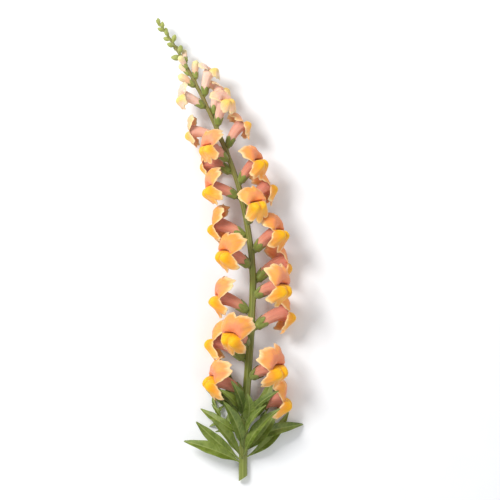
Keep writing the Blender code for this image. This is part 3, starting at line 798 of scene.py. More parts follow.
def lip_point(theta, distance, front, habit, waves, raised=0):
    """A point on the lips at a distance from the mouth, with ruffles towards the edge."""
    bend = max(0, distance - BEND_START) / (WIDEST_REACH - BEND_START)
    y = distance * math.cos(theta) * mix(1, habit.spread, smooth_share(bend, *SPREAD_SETS_IN))
    z = distance * math.sin(theta) + raised
    arch = 4 * bend * (1 - bend)
    upper = UPPER_HOOD * arch - UPPER_REFLEX * habit.openness * bend**2
    lower = LOWER_THRUST * arch - LOWER_REFLEX * habit.openness * bend**2
    upper_share = smooth_share(math.sin(theta), *LIPS_MEET)
    x = mix(lower, upper, upper_share)
    x -= SIDE_CURL_PER_M * y * y * habit.openness * bend
    x += EDGE_WAVE * bend**3 * math.sin(EDGE_CRESTS * theta + EDGE_START_BY_SPREAD * habit.spread)
    ruffle = ripple(RUFFLES, theta, waves) * mix(LOWER_RUFFLE, UPPER_RUFFLE, upper_share)
    x += sizes().ruffle * ruffle * bend**2.5
    x -= dents(LOBE_FOLDS, lobe_spot(theta)) * MM * smooth_share(bend, *FOLDS_SET_IN)
    crumple = noise.noise(Vector((y, z, waves[0] * MM)) * CRUMPLES_PER_M)
    x += sizes().crumple * crumple * smooth_share(bend, *CRUMPLES_SET_IN)
    z *= 1 - LIP_SHORTENING * bend**2
    x += mouth_relief(y, z) if front else -sizes().petal_thickness
    return Vector((x, y, z))


def bloom_point(column, ring, habit, waves):
    """A point of a bloom in its own frame, and the values that its material reads there."""
    theta = math.pi / 2 - TURN * column / BLOOM_COLUMNS
    part, share = BLOOM_RINGS[ring]
    values = {"front": 0.0, "out": 0.0, "tube": share if part == "tube" else 1.0}
    values["upper"] = smooth_share(math.sin(theta), *LIP_COLOURS_MEET)
    values["around"] = Vector((math.cos(theta), math.sin(theta), share))
    if part == "foot":
        values["tube"] = 0.0
        point = bezier(TUBE_LINE, 0)
    elif part == "tube":
        ribs = 1 + ripple(TUBE_RIBS, theta, TUBE_RIB_STARTS)
        point = ring_round_tube(theta, share, tube_radius(share) * ribs)
    elif part == "mouth":
        point = lip_point(theta, MOUTH_RADIUS * share, True, habit, waves, CREASE_HEIGHT * (1 - share))
        values["front"] = 1.0
    else:
        reach = lobe_reach(theta) * mix(YOUNG_REACH, 1.0, habit.openness)
        reach *= 1 + LOPSIDEDNESS * math.sin(2 * theta + waves[2])
        reach *= 1 + ripple(SCALLOPS, theta, waves)
        point = lip_point(theta, mix(MOUTH_RADIUS, reach, share), part == "front", habit, waves)
        values["out"] = share
        values["front"] = float(part == "front")
        values["around"].z = 1 + share
    values["above"] = above_crease(point.y, point.z) / MM
    values["wide"] = abs(point.y) / MM
    return point, values


def bloom_frame(habit):
    """The matrix from a bloom's own frame to its place."""
    point, along, upward, side = stem_frame(habit.place)
    away = outward(upward, side, habit.turn)
    facing = away * math.cos(habit.lift) + along * math.sin(habit.lift)
    lip = along * math.cos(habit.lift) - away * math.sin(habit.lift)
    axes = Matrix((facing, lip.cross(facing), lip)).transposed()
    axes = axes @ Matrix.Rotation(habit.yaw, 3, "Z") @ Matrix.Rotation(habit.roll, 3, "X")
    pedicel = away * math.sin(PEDICEL_LEAN) + along * math.cos(PEDICEL_LEAN)
    foot = point + away * stem_radius(habit.place) + pedicel * PEDICEL_LENGTH * habit.size
    axes = axes * habit.size
    return Matrix.Translation(foot - axes @ bezier(TUBE_LINE, 0)) @ axes.to_4x4()


def bloom_habit(number):
    """Where bloom number stands and how: from the lowest and widest to the youngest."""
    draw = random.Random(BLOOM_SEED + number)
    age = number / (BLOOM_COUNT - 1)
    return BloomHabit(
        place=FIRST_BLOOM + BLOOM_SPAN * ((1 + CROWDING) * age - CROWDING * age**2),
        turn=math.radians(BLOOM_TURNS[number]),
        lift=mix(*BLOOM_LIFTS, age**2) + swing(draw, LIFT_SWING),
        yaw=swing(draw, YAW_SWING),
        roll=swing(draw, ROLL_SWING),
        size=mix(*BLOOM_SIZES, age**1.5) * draw.uniform(*SIZE_SWING),
        spread=draw.uniform(*BLOOM_SPREADS),
        openness=mix(1.0, YOUNG_OPENNESS, smooth_share(age, CLOSING_FROM, 1.0)),
    )


def flower_bud_habit(number):
    age = number / (FLOWER_BUD_COUNT - 1)
    return BloomHabit(
        place=FIRST_FLOWER_BUD + FLOWER_BUD_SPAN * age,
        turn=wrapped(TURN_START + (BLOOM_COUNT + number) * GOLDEN_TURN),
        lift=math.radians(mix(*FLOWER_BUD_LIFTS, age)),
        yaw=0,
        roll=0,
        size=mix(*FLOWER_BUD_SIZES, age),
        spread=1,
        openness=0,
    )


BLOOM_HABITS = [bloom_habit(number) for number in range(BLOOM_COUNT)]
FLOWER_BUD_HABITS = [flower_bud_habit(number) for number in range(FLOWER_BUD_COUNT)]
FLOWER_HABITS = BLOOM_HABITS + FLOWER_BUD_HABITS


def pressed(mesh):
    """Squeezes what reaches below the surface into the lowest few millimetres above it."""
    lowest = min(v.co.z for v in mesh.vertices)
    if lowest >= 0:
        return
    for vert in mesh.vertices:
        if vert.co.z < SOFT_HEIGHT:
            vert.co.z = SOFT_HEIGHT * (vert.co.z - lowest) / (SOFT_HEIGHT - lowest)


def make_bloom(number):
    habit = BLOOM_HABITS[number]
    draw = random.Random(f"waves of bloom {number}")
    waves = [draw.uniform(0, TURN) for _ in range(3)]
    age = number / (BLOOM_COUNT - 1)
    tint = {
        "youth": smooth_share(age, PALE_FROM, 1.0),
        "blush": draw.uniform(*BLUSHES) + BLUSH_BY_AGE * age,
        "amber": draw.uniform(*AMBERS) * bell(age - AMBER_AGE, AMBER_AGE_SPAN),
    }

    def place(column, ring):
        point, values = bloom_point(column, ring, habit, waves)
        return point, {**values, **tint}

    mesh = lofted("bloom", BLOOM_COLUMNS, len(BLOOM_RINGS) - 1, place)
    mesh.transform(bloom_frame(habit))
    pressed(mesh)
    node = f"bloom_{number + 1:02d}"
    shown(f"fine_{node}", [mesh], shared("petal_skin"), "petal", node)


# Closed flower buds and green buds

BUD_COLUMNS = 48
BUD_RINGS = 30
BUD_SEAMS = [math.radians(turn) for turn in (20, 90, 160, 235, 305)]
BUD_SEAM_WIDTH = 0.12
BUD_SEAM_DEPTH = 0.08
BUD_SEAMS_SET_IN = (0.35, 0.7)
BUD_CLOSES = (0.8, 1.0)
BUD_END_ROUNDS = (0.82, 1.0)
BUD_NOSE_SHARE = 0.8
TIP_BUD_COLUMNS = 30
TIP_BUD_RINGS = 18
TIP_BUD_CROWDING = 1.4
TIP_BUD_SEAM_DEPTH = 0.16
TIP_BUD_PALES = (0.7, 1.0)


def make_flower_bud(number):
    nose = bezier_slope(TUBE_LINE, 1) * FLOWER_BUD_NOSE

    def place(column, ring):
        theta = TURN * column / BUD_COLUMNS
        share = ring / BUD_RINGS
        values = {"length": share, "age": 1 - number / (FLOWER_BUD_COUNT - 1)}
        values["around"] = Vector((math.cos(theta), math.sin(theta), share))
        seam = sum(bell(wrapped(theta - turn), BUD_SEAM_WIDTH) for turn in BUD_SEAMS)
        round_end = math.sqrt(max(0, 1 - smooth_share(share, *BUD_END_ROUNDS) ** 2))
        radius = rounded_value(FLOWER_BUD_RINGS, share) * MM
        radius *= 1 - BUD_SEAM_DEPTH * seam * smooth_share(share, *BUD_SEAMS_SET_IN)
        radius *= mix(1, round_end, smooth_share(share, *BUD_CLOSES))
        if ring in (0, BUD_RINGS):
            radius = 0
        lead = 1 if ring == BUD_RINGS else BUD_NOSE_SHARE * share**8
        return ring_round_tube(theta, share, radius) + nose * lead, values

    mesh = lofted("flower_bud", BUD_COLUMNS, BUD_RINGS, place)
    mesh.transform(bloom_frame(FLOWER_BUD_HABITS[number]))
    node = f"flower_bud_{number + 1:02d}"
    shown(f"fine_{node}", [mesh], shared("bud_skin"), "bud", node)


def sepal_middle(theta):
    """0 where two sepals meet and 1 in the middle of a sepal."""
    return abs(math.cos(SEPALS * theta / 2))


def green_bud_mesh(number):
    """A closed bud of the tip, wrapped in five sepals, with its foot inside the stem."""
    age = number / (GREEN_BUD_COUNT - 1)
    span = STEM_LENGTH - FIRST_GREEN_BUD
    point, along, upward, side = stem_frame(FIRST_GREEN_BUD + span * (1 - (1 - age) ** TIP_BUD_CROWDING))
    away = outward(upward, side, TURN_START + (BLOOM_COUNT + FLOWER_BUD_COUNT + number) * GOLDEN_TURN)
    lean = math.radians(mix(*GREEN_BUD_LEANS, age**1.5))
    axis = (away * math.sin(lean) + along * math.cos(lean)).normalized()
    level = axis.cross(along if age < 1 else side).normalized()
    upright = axis.cross(level)
    length = mix(*GREEN_BUD_LENGTHS, age**0.7)
    whole = length + GREEN_BUD_STALK

    def place(column, ring):
        theta = TURN * column / TIP_BUD_COLUMNS
        spot = whole * ring / TIP_BUD_RINGS
        share = max(0, (spot - GREEN_BUD_STALK) / length)
        width = 0
        if 0 < ring < TIP_BUD_RINGS:
            seam = TIP_BUD_SEAM_DEPTH * (1 - sepal_middle(theta)) ** 2
            width = rounded_value(GREEN_BUD_RINGS, share) * (1 - seam)
        round_axis = level * math.cos(theta) + upright * math.sin(theta)
        values = {"tip": share, "pale": mix(*TIP_BUD_PALES, share)}
        return point + axis * spot + round_axis * length * GREEN_BUD_FATNESS * width, values

    return lofted("green_bud", TIP_BUD_COLUMNS, TIP_BUD_RINGS, place)


# Calyces and bracts

CALYX_COLUMNS = 60
STALK_RINGS = 6
CUP_RINGS = 4
OUTER_RINGS = 9
INNER_RINGS = 7
CALYX_RINGS = (
    [("root", 0)]
    + [("stalk", k / STALK_RINGS) for k in range(1, STALK_RINGS + 1)]
    + [("cup", k / CUP_RINGS) for k in range(1, CUP_RINGS + 1)]
    + [("outside", k / OUTER_RINGS) for k in range(1, OUTER_RINGS + 1)]
    + [("inside", 1 - k / INNER_RINGS) for k in range(INNER_RINGS)]
    + [("floor", 0)]
)
BLOOM_CALYX_PALE = 0.1
BUD_CALYX_PALE = 0.5
PEDICEL_START = 0.3
PEDICEL_BOW = 0.6 * MM
PEDICEL_WAIST = (1.15, 0.95)
PEDICEL_FLARE = 1.35
CUP_LENGTH = 2.4 * MM
CUP_CURVE = 1.8 * MM
SEPAL_ROUNDNESS = 0.75
SEPAL_EDGE = 0.35 * MM
SEPAL_SEAM = 0.35 * MM
SEPAL_SEAM_WIDTH = 0.25
SEPAL_MIDRIB = 0.25 * MM
SEPAL_MIDRIB_WIDTH = 0.12
INNER_SHARE = 0.97
INNER_START = 0.03
INNER_WIDTH_START = 0.06
BRACT_COLUMNS = 20
BRACT_STEPS = 8
BRACT_LEAN = 1.3
BRACT_BEND = 0.5
BRACT_PATH = 1.6
BRACT_TINT = {"tip": 0.6, "pale": 0.25}


def calyx_mesh(habit, pale):
    """Pedicel, cup and five sepals round the foot of a flower's tube."""
    matrix = bloom_frame(habit)
    root = matrix.inverted() @ stem_frame(habit.place)[0]
    gap = CALYX_GAP / habit.size
    slope = bezier_slope(TUBE_LINE, 0)
    level, upright = Vector((0, 1, 0)), Vector((-slope.z, 0, slope.x))
    floor = bezier(TUBE_LINE, 0) - slope * gap
    base = floor - slope * CUP_LENGTH

    def place(column, ring):
        theta = TURN * column / CALYX_COLUMNS
        part, share = CALYX_RINGS[ring]
        radial = level * math.cos(theta) + upright * math.sin(theta)
        middle = sepal_middle(theta)
        tip = mix(SEPAL_NOTCH, SEPAL_TIP, middle**SEPAL_ROUNDNESS)
        values = {"tip": share if part in ("outside", "inside") else 0.0, "pale": pale}
        if part == "root":
            return root, values
        if part == "stalk":
            bulge = math.sin(math.pi * share)
            radius = PEDICEL_RADIUS * mix(*PEDICEL_WAIST, bulge) * mix(1, PEDICEL_FLARE, share**4)
            middle_line = mix(root, base, mix(PEDICEL_START, 1.0, share)) - slope * PEDICEL_BOW * bulge
            return middle_line + radial * radius, values
        if part == "cup":
            angle = share * math.pi / 2
            radius = mix(PEDICEL_RADIUS * PEDICEL_FLARE, CUP_RADIUS, math.sin(angle))
            return base + slope * (CUP_CURVE * (1 - math.cos(angle))) + radial * radius, values
        if part == "outside":
            wall = tube_radius(tip) + gap + mix(SEPAL_THICKNESS, SEPAL_EDGE, share)
            radius = mix(CUP_RADIUS, wall, share**0.8)
            radius -= SEPAL_SEAM * bell(middle, SEPAL_SEAM_WIDTH) * (1 - share)
            radius += SEPAL_MIDRIB * bell(middle - 1, SEPAL_MIDRIB_WIDTH) * (1 - share)
            return ring_round_tube(theta, tip * share, radius), values
        if part == "inside":
            spot = tip * INNER_SHARE * share
            radius = tube_radius(max(spot, INNER_WIDTH_START)) + gap
            return ring_round_tube(theta, max(spot, INNER_START), radius), values
        return floor, values

    mesh = lofted("calyx", CALYX_COLUMNS, len(CALYX_RINGS) - 1, place)
    mesh.transform(matrix)
    return mesh


def bract_mesh(habit):
    """The small leaf under a flower, which bends away from the stem and up."""
    point, along, upward, side = stem_frame(habit.place - BRACT_DROP)
    away = outward(upward, side, habit.turn)
    start = point + away * (stem_radius(habit.place) - BRACT_ROOT)
    length = BRACT_LENGTH * habit.size
    heading = away * BRACT_LEAN + along
    steps = [k / BRACT_STEPS for k in range(BRACT_STEPS + 1)]
    line = [start + (heading * t - along * t * t * BRACT_BEND) * length / BRACT_PATH for t in steps]
    return blade_mesh(line, length * BRACT_WIDTH_SHARE, along - away, BRACT_COLUMNS, 0, BRACT_TINT)


# Leaves

VEIN_GAP = 2.4 * MM
MOST_VEINS = 14
VEIN_SLANT = 1.1
VEIN_SHARPNESS = 5
VEIN_STARTS = (0.3 * MM, 1.2 * MM)
VEIN_END = 1 * MM
VEIN_PALENESS = 0.7
MIDRIB_WIDTH = 0.45 * MM
MIDRIB_DIP = 0.22 * MM
MIDRIB_KEEL = 0.4 * MM
MARGIN_WAVE = 0.03
MARGIN_WAVE_RATE = 23
BLADE_WAVE = 0.5 * MM
BLADE_WAVE_RATE = 19
BLADE_WAVE_SHIFT = 2
FOLD_SETS_IN = (-1 * MM, 2.2 * MM)
TOP_SINK = 0.3 * MM
UNDERSIDE_SINK = 0.7 * MM
LEAF_COLUMNS = 36
LEAF_SMOOTHING = 10
LENGTH_SWING = (0.85, 1.1)
WIDTH_SWING = (0.85, 1.2)
TOP_LEAN_SHARE = 0.6
TOP_DROOP_SHARE = 0.25
MOST_YELLOW = 0.75
PETIOLE_ROOT = 2.6 * MM
PETIOLE_END = 0.3
PETIOLE_WIDTHS = (1.5, 0.85, 0.3)
STALK_COLUMNS = 10
STALK_SMOOTHING = 6
LOWEST_STALK = 0.05 * MM
STALK_TINT = {"vein": 0.5, "under": 0.4}
SHOOT_LEAN = 0.85
SHOOT_DROOP = math.radians(35)
SHOOT_CURL = math.radians(22)
SHOOT_FOOT_WIDTH = 1.1
SHOOT_TAPER = 0.6
SHOOT_YELLOW = 0.5
SHOOT_LAST_LEAF = SHOOT_STEPS - 0.2
SHOOT_LEAF_TURN = GOLDEN_TURN * 0.9
SHOOT_LEAF_LEANS = (62, 18)
SHOOT_LEAF_DROOPS = (10, 60)
SHOOT_LEAF_CURL = 60
SHOOT_LEAF_STEPS = 2
SHOOT_LEAF_SMOOTHING = 13
SHOOT_LEAF_COLUMNS = 24
SHOOT_LEAF_FACING = 0.7
SHOOT_LEAF_YELLOWS = (0.1, 0.6)


def blade_line(start, direction, length, droop, curl, steps):
    """A leaf's centre line, bending down by droop and sideways by curl, and lying on the surface below."""
    line = [start.copy()]
    heading = direction.normalized()
    for _ in range(steps):
        turned = Matrix.Rotation(curl / steps, 3, "Z")
        heading = (turned @ heading - UP * droop / steps).normalized()
        spot = line[-1] + heading * length / steps
        if spot.z < LOWEST_BLADE:
            rise = (LOWEST_BLADE - line[-1].z) * steps / length
            heading = Vector((heading.x, heading.y, rise)).normalized()
            spot = line[-1] + heading * length / steps
        line.append(spot)
    return line


def heading_at(line, k):
    """The direction of a line at one of its points."""
    return (line[min(k + 1, len(line) - 1)] - line[max(k - 1, 0)]).normalized()


def blade_mesh(line, width, facing, columns, phase, tint):
    """A leaf along a smooth line, with a sunken midrib, side veins, a folded and slightly wavy blade."""
    rows = len(line) - 1
    length = sum((b - a).length for a, b in zip(line, line[1:]))
    vein_gap = max(VEIN_GAP, length / MOST_VEINS)
    thin = sizes().leaf_thickness / 2

    def place(column, ring):
        angle = TURN * column / columns
        across, top = math.cos(angle), math.sin(angle) >= 0
        heading = heading_at(line, ring)
        level = heading.cross(facing).normalized()
        normal = level.cross(heading)
        share = ring / rows
        half = width / 2 * rounded_value(LEAF_OUTLINE, share)
        half *= 1 + MARGIN_WAVE * math.sin(share * MARGIN_WAVE_RATE + phase)
        off = abs(across) * half
        midrib = bell(off, MIDRIB_WIDTH)
        crest = math.cos(TURN * (share * length - off * VEIN_SLANT) / vein_gap)
        side_vein = max(0, crest) ** VEIN_SHARPNESS
        side_vein *= smooth_share(off, *VEIN_STARTS) * smooth_share(half - off, 0, VEIN_END)
        wave = math.sin(share * BLADE_WAVE_RATE + phase + (across > 0) * BLADE_WAVE_SHIFT)
        rise = LEAF_FOLD * off * smooth_share(off, *FOLD_SETS_IN)
        rise += BLADE_WAVE * wave * (off / (width / 2)) ** 2
        body = thin * math.sqrt(max(0, 1 - across**4))
        if top:
            rise += body - MIDRIB_DIP * midrib - sizes().vein_depth * side_vein
        else:
            rise -= body + MIDRIB_KEEL * midrib + sizes().vein_depth * side_vein
        point = line[ring].copy()
        if 0 < ring < rows:
            point += level * across * half + normal * rise
        point.z = max(point.z, LOWEST_BLADE - (TOP_SINK if top else UNDERSIDE_SINK))
        return point, {"vein": max(midrib, side_vein * VEIN_PALENESS), "under": float(not top), **tint}

    return lofted("blade", columns, rows, place)


def stalk_mesh(points, widths, tint):
    """A thin round stalk through some points, with its half-widths in millimetres."""
    line = smooth_line(points, STALK_SMOOTHING)
    steps = len(line) - 1

    def place(column, ring):
        angle = TURN * column / STALK_COLUMNS
        heading = heading_at(line, ring)
        level = heading.cross(UP if abs(heading.z) < 0.9 else Vector((0, 1, 0))).normalized()
        spot = ring / steps * (len(widths) - 1)
        k = min(int(spot), len(widths) - 2)
        radius = mix(widths[k], widths[k + 1], spot - k) * MM if 0 < ring < steps else 0
        point = line[ring] + (level * math.cos(angle) + level.cross(heading) * math.sin(angle)) * radius
        point.z = max(point.z, LOWEST_STALK)
        return point, {**STALK_TINT, **tint}

    return lofted("stalk", STALK_COLUMNS, steps, place)


def make_leaf(number, try_number):
    draw = random.Random(LEAF_SEED + try_number)
    age = try_number / (LEAF_TRIES - 1)
    place = FIRST_LEAF + LEAF_SPAN * age
    point, along, upward, side = stem_frame(place)
    away = outward(upward, side, LEAF_TURN_SHARE * wrapped(LEAF_TURN_START + try_number * GOLDEN_TURN))
    sideness = abs(away.dot(side))
    lean = math.radians(draw.uniform(*LEAF_LEANS)) * mix(TOP_LEAN_SHARE, 1, sideness)
    full_length = mix(*LEAF_LENGTHS, age)
    line = blade_line(
        point + away * (stem_radius(place) + ROOT_GAP),
        away * math.sin(lean) + along * math.cos(lean),
        full_length * draw.uniform(*LENGTH_SWING),
        math.radians(draw.uniform(*LEAF_DROOPS)) * mix(TOP_DROOP_SHARE, 1, sideness),
        swing(draw, LEAF_CURL),
        LEAF_ROWS,
    )
    width = full_length * LEAF_WIDTH_SHARE * draw.uniform(*WIDTH_SWING)
    facing = UP + along * max(0, away.z)
    phase = draw.uniform(0, TURN)
    tint = {"yellow": draw.uniform(0, MOST_YELLOW) ** 2}
    blade = blade_mesh(smooth_line(line, LEAF_SMOOTHING), width, facing, LEAF_COLUMNS, phase, tint)
    foot = line[0] - away * (ROOT_GAP + PETIOLE_ROOT)
    petiole = stalk_mesh([foot, line[0], mix(line[0], line[1], PETIOLE_END)], PETIOLE_WIDTHS, tint)
    node = f"leaf_{number + 1:02d}"
    shown(f"fine_{node}", [blade, petiole], shared("leaf_skin"), "leaf", node)


def make_side_shoot(number):
    draw = random.Random(SHOOT_SEED + number)
    place, turn, length = SHOOTS[number]
    point, along, upward, side = stem_frame(place)
    away = outward(upward, side, math.radians(turn))
    start = point + away * (stem_radius(place) + SHOOT_RADIUS + ROOT_GAP)
    curl = math.copysign(SHOOT_CURL, turn)
    line = blade_line(start, away * SHOOT_LEAN + along, length, SHOOT_DROOP, curl, SHOOT_STEPS)
    foot = line[0] - away * (ROOT_GAP + SHOOT_RADIUS + PETIOLE_ROOT)
    narrowing = [mix(1, SHOOT_TAPER, k / SHOOT_STEPS) for k in range(SHOOT_STEPS + 1)]
    widths = [SHOOT_FOOT_WIDTH] + [SHOOT_RADIUS / MM * share for share in narrowing]
    meshes = [stalk_mesh([foot, *line], widths, {"yellow": SHOOT_YELLOW})]
    for k in range(SHOOT_LEAVES):
        age = k / (SHOOT_LEAVES - 1)
        spot = mix(SHOOT_FIRST_LEAF, SHOOT_LAST_LEAF, age)
        below, above = line[int(spot)], line[int(spot) + 1]
        heading = (above - below).normalized()
        level = heading.cross(UP).normalized()
        round_stalk = outward(level.cross(heading), level, k * SHOOT_LEAF_TURN)
        lean = math.radians(mix(*SHOOT_LEAF_LEANS, age))
        full_length = mix(*SHOOT_LEAF_LENGTHS, age)
        leaf_line = blade_line(
            mix(below, above, spot % 1),
            round_stalk * math.sin(lean) + heading * math.cos(lean),
            full_length * draw.uniform(*LENGTH_SWING),
            math.radians(draw.uniform(*SHOOT_LEAF_DROOPS)),
            swing(draw, SHOOT_LEAF_CURL),
            SHOOT_LEAF_STEPS,
        )
        width = full_length * SHOOT_LEAF_WIDTH_SHARE
        facing = heading + UP * SHOOT_LEAF_FACING
        tint = {"yellow": mix(*SHOOT_LEAF_YELLOWS, age)}
        smooth = smooth_line(leaf_line, SHOOT_LEAF_SMOOTHING)
        meshes.append(blade_mesh(smooth, width, facing, SHOOT_LEAF_COLUMNS, k, tint))
    node = f"side_shoot_{number + 1:02d}"
    shown(f"fine_{node}", meshes, shared("leaf_skin"), "leaf", node)


# Stem

STEM_COLUMNS = 56
STEM_RINGS = 220
STEM_RIBS = 7
RIB_TWIST_PER_M = 9
RIB_MIDDLE = 0.6
FULL_RIB_RADIUS = 3 * MM
SWELLING = 0.5 * MM
SWELLING_DROP = 1 * MM
SWELLING_LENGTH = 3.4 * MM
SWELLING_WIDTH = 0.6
SWELLING_REACH = 9 * MM
STEM_END = 1 * MM
CUT_RINGS = 6
CUT_EDGE = 0.12 * MM
CUT_BULGE = 0.3 * MM
CUT_BULGE_PLACE = 0.55
CUT_BULGE_WIDTH = 0.3
CUT_MIDDLE = 0.03
SKIN_START = CUT_INSET + 3.4 * MM


def stem_mesh():
    """The stem's skin with its ridges and the swellings under each flower, cut at a slant."""
    start, along, _, _ = stem_frame(0)
    cut_spot = start + along * CUT_INSET
    cut_way = Matrix.Rotation(CUT_SLANT, 3, "Z") @ along

    def skin(column, place, rim):
        point, along, upward, side = stem_frame(place)
        angle = TURN * column / STEM_COLUMNS
        radius = stem_radius(place)
        ridge = math.cos(STEM_RIBS * angle + RIB_TWIST_PER_M * place)
        radius += sizes().rib_depth * (ridge - RIB_MIDDLE) * min(1, radius / FULL_RIB_RADIUS)
        for habit in FLOWER_HABITS:
            off = place - habit.place
            if abs(off) < SWELLING_REACH:
                swelling = SWELLING * bell(off + SWELLING_DROP, SWELLING_LENGTH)
                radius += swelling * bell(wrapped(angle - habit.turn), SWELLING_WIDTH)
        return point + outward(upward, side, angle) * radius * rim, ridge, along

    def place(column, ring):
        if ring > CUT_RINGS + 1:
            share = (ring - CUT_RINGS - 2) / (STEM_RINGS - CUT_RINGS - 2)
            place_here = mix(SKIN_START, STEM_LENGTH - STEM_END, share)
            point, ridge, _ = skin(column, place_here, float(ring < STEM_RINGS))
            values = {"height": share, "ridge": ridge, "cut": 0.0}
        else:
            rim = min(1, ring / CUT_RINGS)
            point, ridge, along = skin(column, CUT_INSET, rim)
            point += along * ((cut_spot - point).dot(cut_way) / along.dot(cut_way))
            if ring > CUT_RINGS:
                point += along * CUT_EDGE
            point += along * CUT_BULGE * bell(rim - CUT_BULGE_PLACE, CUT_BULGE_WIDTH)
            cut = max(rim, CUT_MIDDLE) if ring <= CUT_RINGS else 0.0
            values = {"height": 0.0, "ridge": ridge, "cut": cut}
        point.z = max(point.z, 0)
        return point, values

    return lofted("stem", STEM_COLUMNS, STEM_RINGS, place)


# Hairs

HAIR_SIDES = 3
STEM_HAIRS = 520
HAIRS_START = 0.34
HAIRS_END = 12 * MM
HAIR_LENGTHS = (0.6, 1.15)
HAIR_LEANS = (-0.3, 0.5)
HAIR_ROOT = 0.3 * MM
HAIR_FOOT_RADIUS = 0.055 * MM
HAIR_TIP_RADIUS = 0.012 * MM


def hairs_mesh():
    """Short pointed hairs on the upper stem, each a slender three-sided cone."""
    draw = random.Random("stem hairs")
    made = bmesh.new()
    for _ in range(STEM_HAIRS):
        place = mix(HAIRS_START * STEM_LENGTH, STEM_LENGTH - HAIRS_END, draw.random())
        point, along, upward, side = stem_frame(place)
        away = outward(upward, side, draw.uniform(0, TURN))
        length = sizes().hair_length * draw.uniform(*HAIR_LENGTHS)
        way = (away + along * draw.uniform(*HAIR_LEANS)).normalized()
        foot = point + away * (stem_radius(place) - HAIR_ROOT)
        turned = way.to_track_quat("Z", "Y").to_matrix().to_4x4()
        bmesh.ops.create_cone(
            made,
            cap_ends=True,
            segments=HAIR_SIDES,
            radius1=HAIR_FOOT_RADIUS,
            radius2=HAIR_TIP_RADIUS,
            depth=length,
            matrix=Matrix.Translation(foot + way * length / 2) @ turned,
        )
    return mesh_of(made, "stem_hairs")


# Stage

FRAME_WIDTH = 0.5
FRAME_CENTRE = Vector((7 * MM, 220 * MM, 22 * MM))
CAMERA_HEIGHT = 2.4
CAMERA_CLIP = (0.1, 10)
FLOOR_REACH = 2.5
DAYLIGHT = (0.95, 0.97, 1, 1)
DAYLIGHT_STRENGTH = 0.6

# Name, place, power and size of each lamp
LAMPS = (("key_light", (-0.85, 0.95, 1.25), 24, 0.55), ("fill_light", (0.9, -0.5, 1.4), 5, 1.2))


def make_floor():
    made = bmesh.new()
    bmesh.ops.create_grid(made, x_segments=2, y_segments=2, size=FLOOR_REACH)
    floor = in_scene("floor", mesh_of(made, "floor"))
    floor.data.materials.append(shared("pale_floor"))


def make_camera():
    """A camera straight above, with a lens that frames the stem as in the photo."""
    camera = bpy.data.cameras.new("overhead_camera")
    camera.lens = camera.sensor_width * (CAMERA_HEIGHT - FRAME_CENTRE.z) / FRAME_WIDTH
    camera.clip_start, camera.clip_end = CAMERA_CLIP
    holder = in_scene("overhead_camera", camera)
    holder.location = (FRAME_CENTRE.x, FRAME_CENTRE.y, CAMERA_HEIGHT)
    bpy.context.scene.camera = holder


def make_lights():
    for name, spot, power, size in LAMPS:
        lamp = bpy.data.lights.new(name, "AREA")
        lamp.energy, lamp.size = power, size
        holder = in_scene(name, lamp)
        holder.location = spot
        holder.rotation_euler = (FRAME_CENTRE - Vector(spot)).to_track_quat("-Z", "Y").to_euler()
    world = bpy.data.worlds.new("soft_daylight")
    world.use_nodes = True
    background = world.node_tree.nodes["Background"]
    background.inputs["Color"].default_value = DAYLIGHT
    background.inputs["Strength"].default_value = DAYLIGHT_STRENGTH
    bpy.context.scene.world = world
    bpy.context.scene.view_settings.view_transform = "Standard"


class SNAPDRAGON_OT_blooms(bpy.types.Operator):
    """Makes the open blooms"""

    bl_idname = "snapdragon.blooms"
    bl_label = "Blooms"

    def execute(self, context):
        for number in range(BLOOM_COUNT):
            make_bloom(number)
        return {"FINISHED"}


class SNAPDRAGON_OT_flower_buds(bpy.types.Operator):
    """Makes the closed, coloured buds above the blooms"""

    bl_idname = "snapdragon.flower_buds"
    bl_label = "Flower buds"

    def execute(self, context):
        for number in range(FLOWER_BUD_COUNT):
            make_flower_bud(number)
        return {"FINISHED"}


class SNAPDRAGON_OT_stem(bpy.types.Operator):
    """Makes the ridged stem with its slanted cut"""

    bl_idname = "snapdragon.stem"
    bl_label = "Stem"

    def execute(self, context):
        shown("ridged_stem", [stem_mesh()], shared("stem_skin"), "stem", "stem")
        return {"FINISHED"}


class SNAPDRAGON_OT_greens(bpy.types.Operator):
    """Makes the pedicels, calyces, bracts and the green buds of the tip"""

    bl_idname = "snapdragon.greens"
    bl_label = "Calyces, bracts and green buds"

    def execute(self, context):
        calyces = [calyx_mesh(habit, BLOOM_CALYX_PALE) for habit in BLOOM_HABITS]
        calyces += [calyx_mesh(habit, BUD_CALYX_PALE) for habit in FLOWER_BUD_HABITS]
        bracts = [bract_mesh(habit) for habit in FLOWER_HABITS]
        tips = [green_bud_mesh(number) for number in range(GREEN_BUD_COUNT)]
        for name, meshes in (("calyces", calyces), ("bracts", bracts), ("green_buds", tips)):
            shown(name, meshes, shared("sepal_skin"), "stem", "stem")
        return {"FINISHED"}


class SNAPDRAGON_OT_hairs(bpy.types.Operator):
    """Makes the short hairs of the upper stem"""

    bl_idname = "snapdragon.hairs"
    bl_label = "Hairs"

    def execute(self, context):
        shown("stem_hairs", [hairs_mesh()], shared("hair_skin"), "stem")
        return {"FINISHED"}


class SNAPDRAGON_OT_leaves(bpy.types.Operator):
    """Makes the leaves of the lower stem"""

    bl_idname = "snapdragon.leaves"
    bl_label = "Leaves"

    def execute(self, context):
        for number, try_number in enumerate(LEAF_NUMBERS):
            make_leaf(number, try_number)
        return {"FINISHED"}


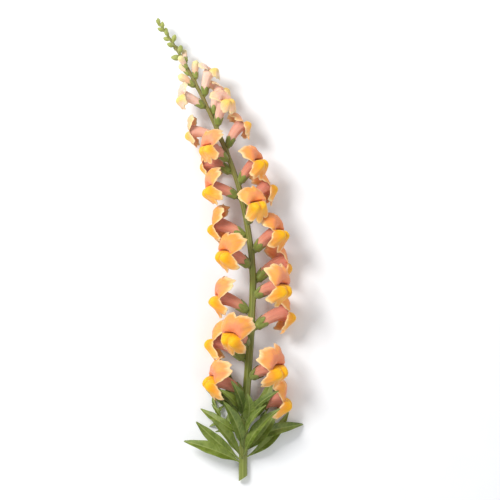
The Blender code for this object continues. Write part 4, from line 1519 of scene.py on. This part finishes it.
class SNAPDRAGON_OT_side_shoots(bpy.types.Operator):
    """Makes the two leafy side shoots"""

    bl_idname = "snapdragon.side_shoots"
    bl_label = "Side shoots"

    def execute(self, context):
        for number in range(len(SHOOTS)):
            make_side_shoot(number)
        return {"FINISHED"}


class SNAPDRAGON_OT_stage(bpy.types.Operator):
    """Makes the pale floor, the soft lights and the camera above"""

    bl_idname = "snapdragon.stage"
    bl_label = "Stage"

    def execute(self, context):
        make_floor()
        make_camera()
        make_lights()
        return {"FINISHED"}


OPERATORS = (
    SNAPDRAGON_OT_stage,
    SNAPDRAGON_OT_stem,
    SNAPDRAGON_OT_greens,
    SNAPDRAGON_OT_hairs,
    SNAPDRAGON_OT_blooms,
    SNAPDRAGON_OT_flower_buds,
    SNAPDRAGON_OT_leaves,
    SNAPDRAGON_OT_side_shoots,
)


class SNAPDRAGON_PT_panel(bpy.types.Panel):
    """Lists the pieces of the stem"""

    bl_idname = "SNAPDRAGON_PT_panel"
    bl_label = "Snapdragon stem"
    bl_space_type = "VIEW_3D"
    bl_region_type = "UI"
    bl_category = "Snapdragon"

    def draw(self, context):
        for group in (context.scene.snapdragon_sizes, context.scene.snapdragon_colours):
            for name in group.__annotations__:
                self.layout.prop(group, name)
        for operator in OPERATORS:
            self.layout.operator(operator.bl_idname)


CLASSES = (StemSizes, StemColours, *OPERATORS, SNAPDRAGON_PT_panel)


def register():
    for item in CLASSES:
        bpy.utils.register_class(item)
    bpy.types.Scene.snapdragon_sizes = PointerProperty(type=StemSizes)
    bpy.types.Scene.snapdragon_colours = PointerProperty(type=StemColours)


def unregister():
    del bpy.types.Scene.snapdragon_colours
    del bpy.types.Scene.snapdragon_sizes
    for item in reversed(CLASSES):
        bpy.utils.unregister_class(item)


def main():
    register()
    bpy.ops.snapdragon.stage()
    bpy.ops.snapdragon.stem()
    bpy.ops.snapdragon.greens()
    bpy.ops.snapdragon.hairs()
    bpy.ops.snapdragon.blooms()
    bpy.ops.snapdragon.flower_buds()
    bpy.ops.snapdragon.leaves()
    bpy.ops.snapdragon.side_shoots()


if __name__ == "__main__":
    main()
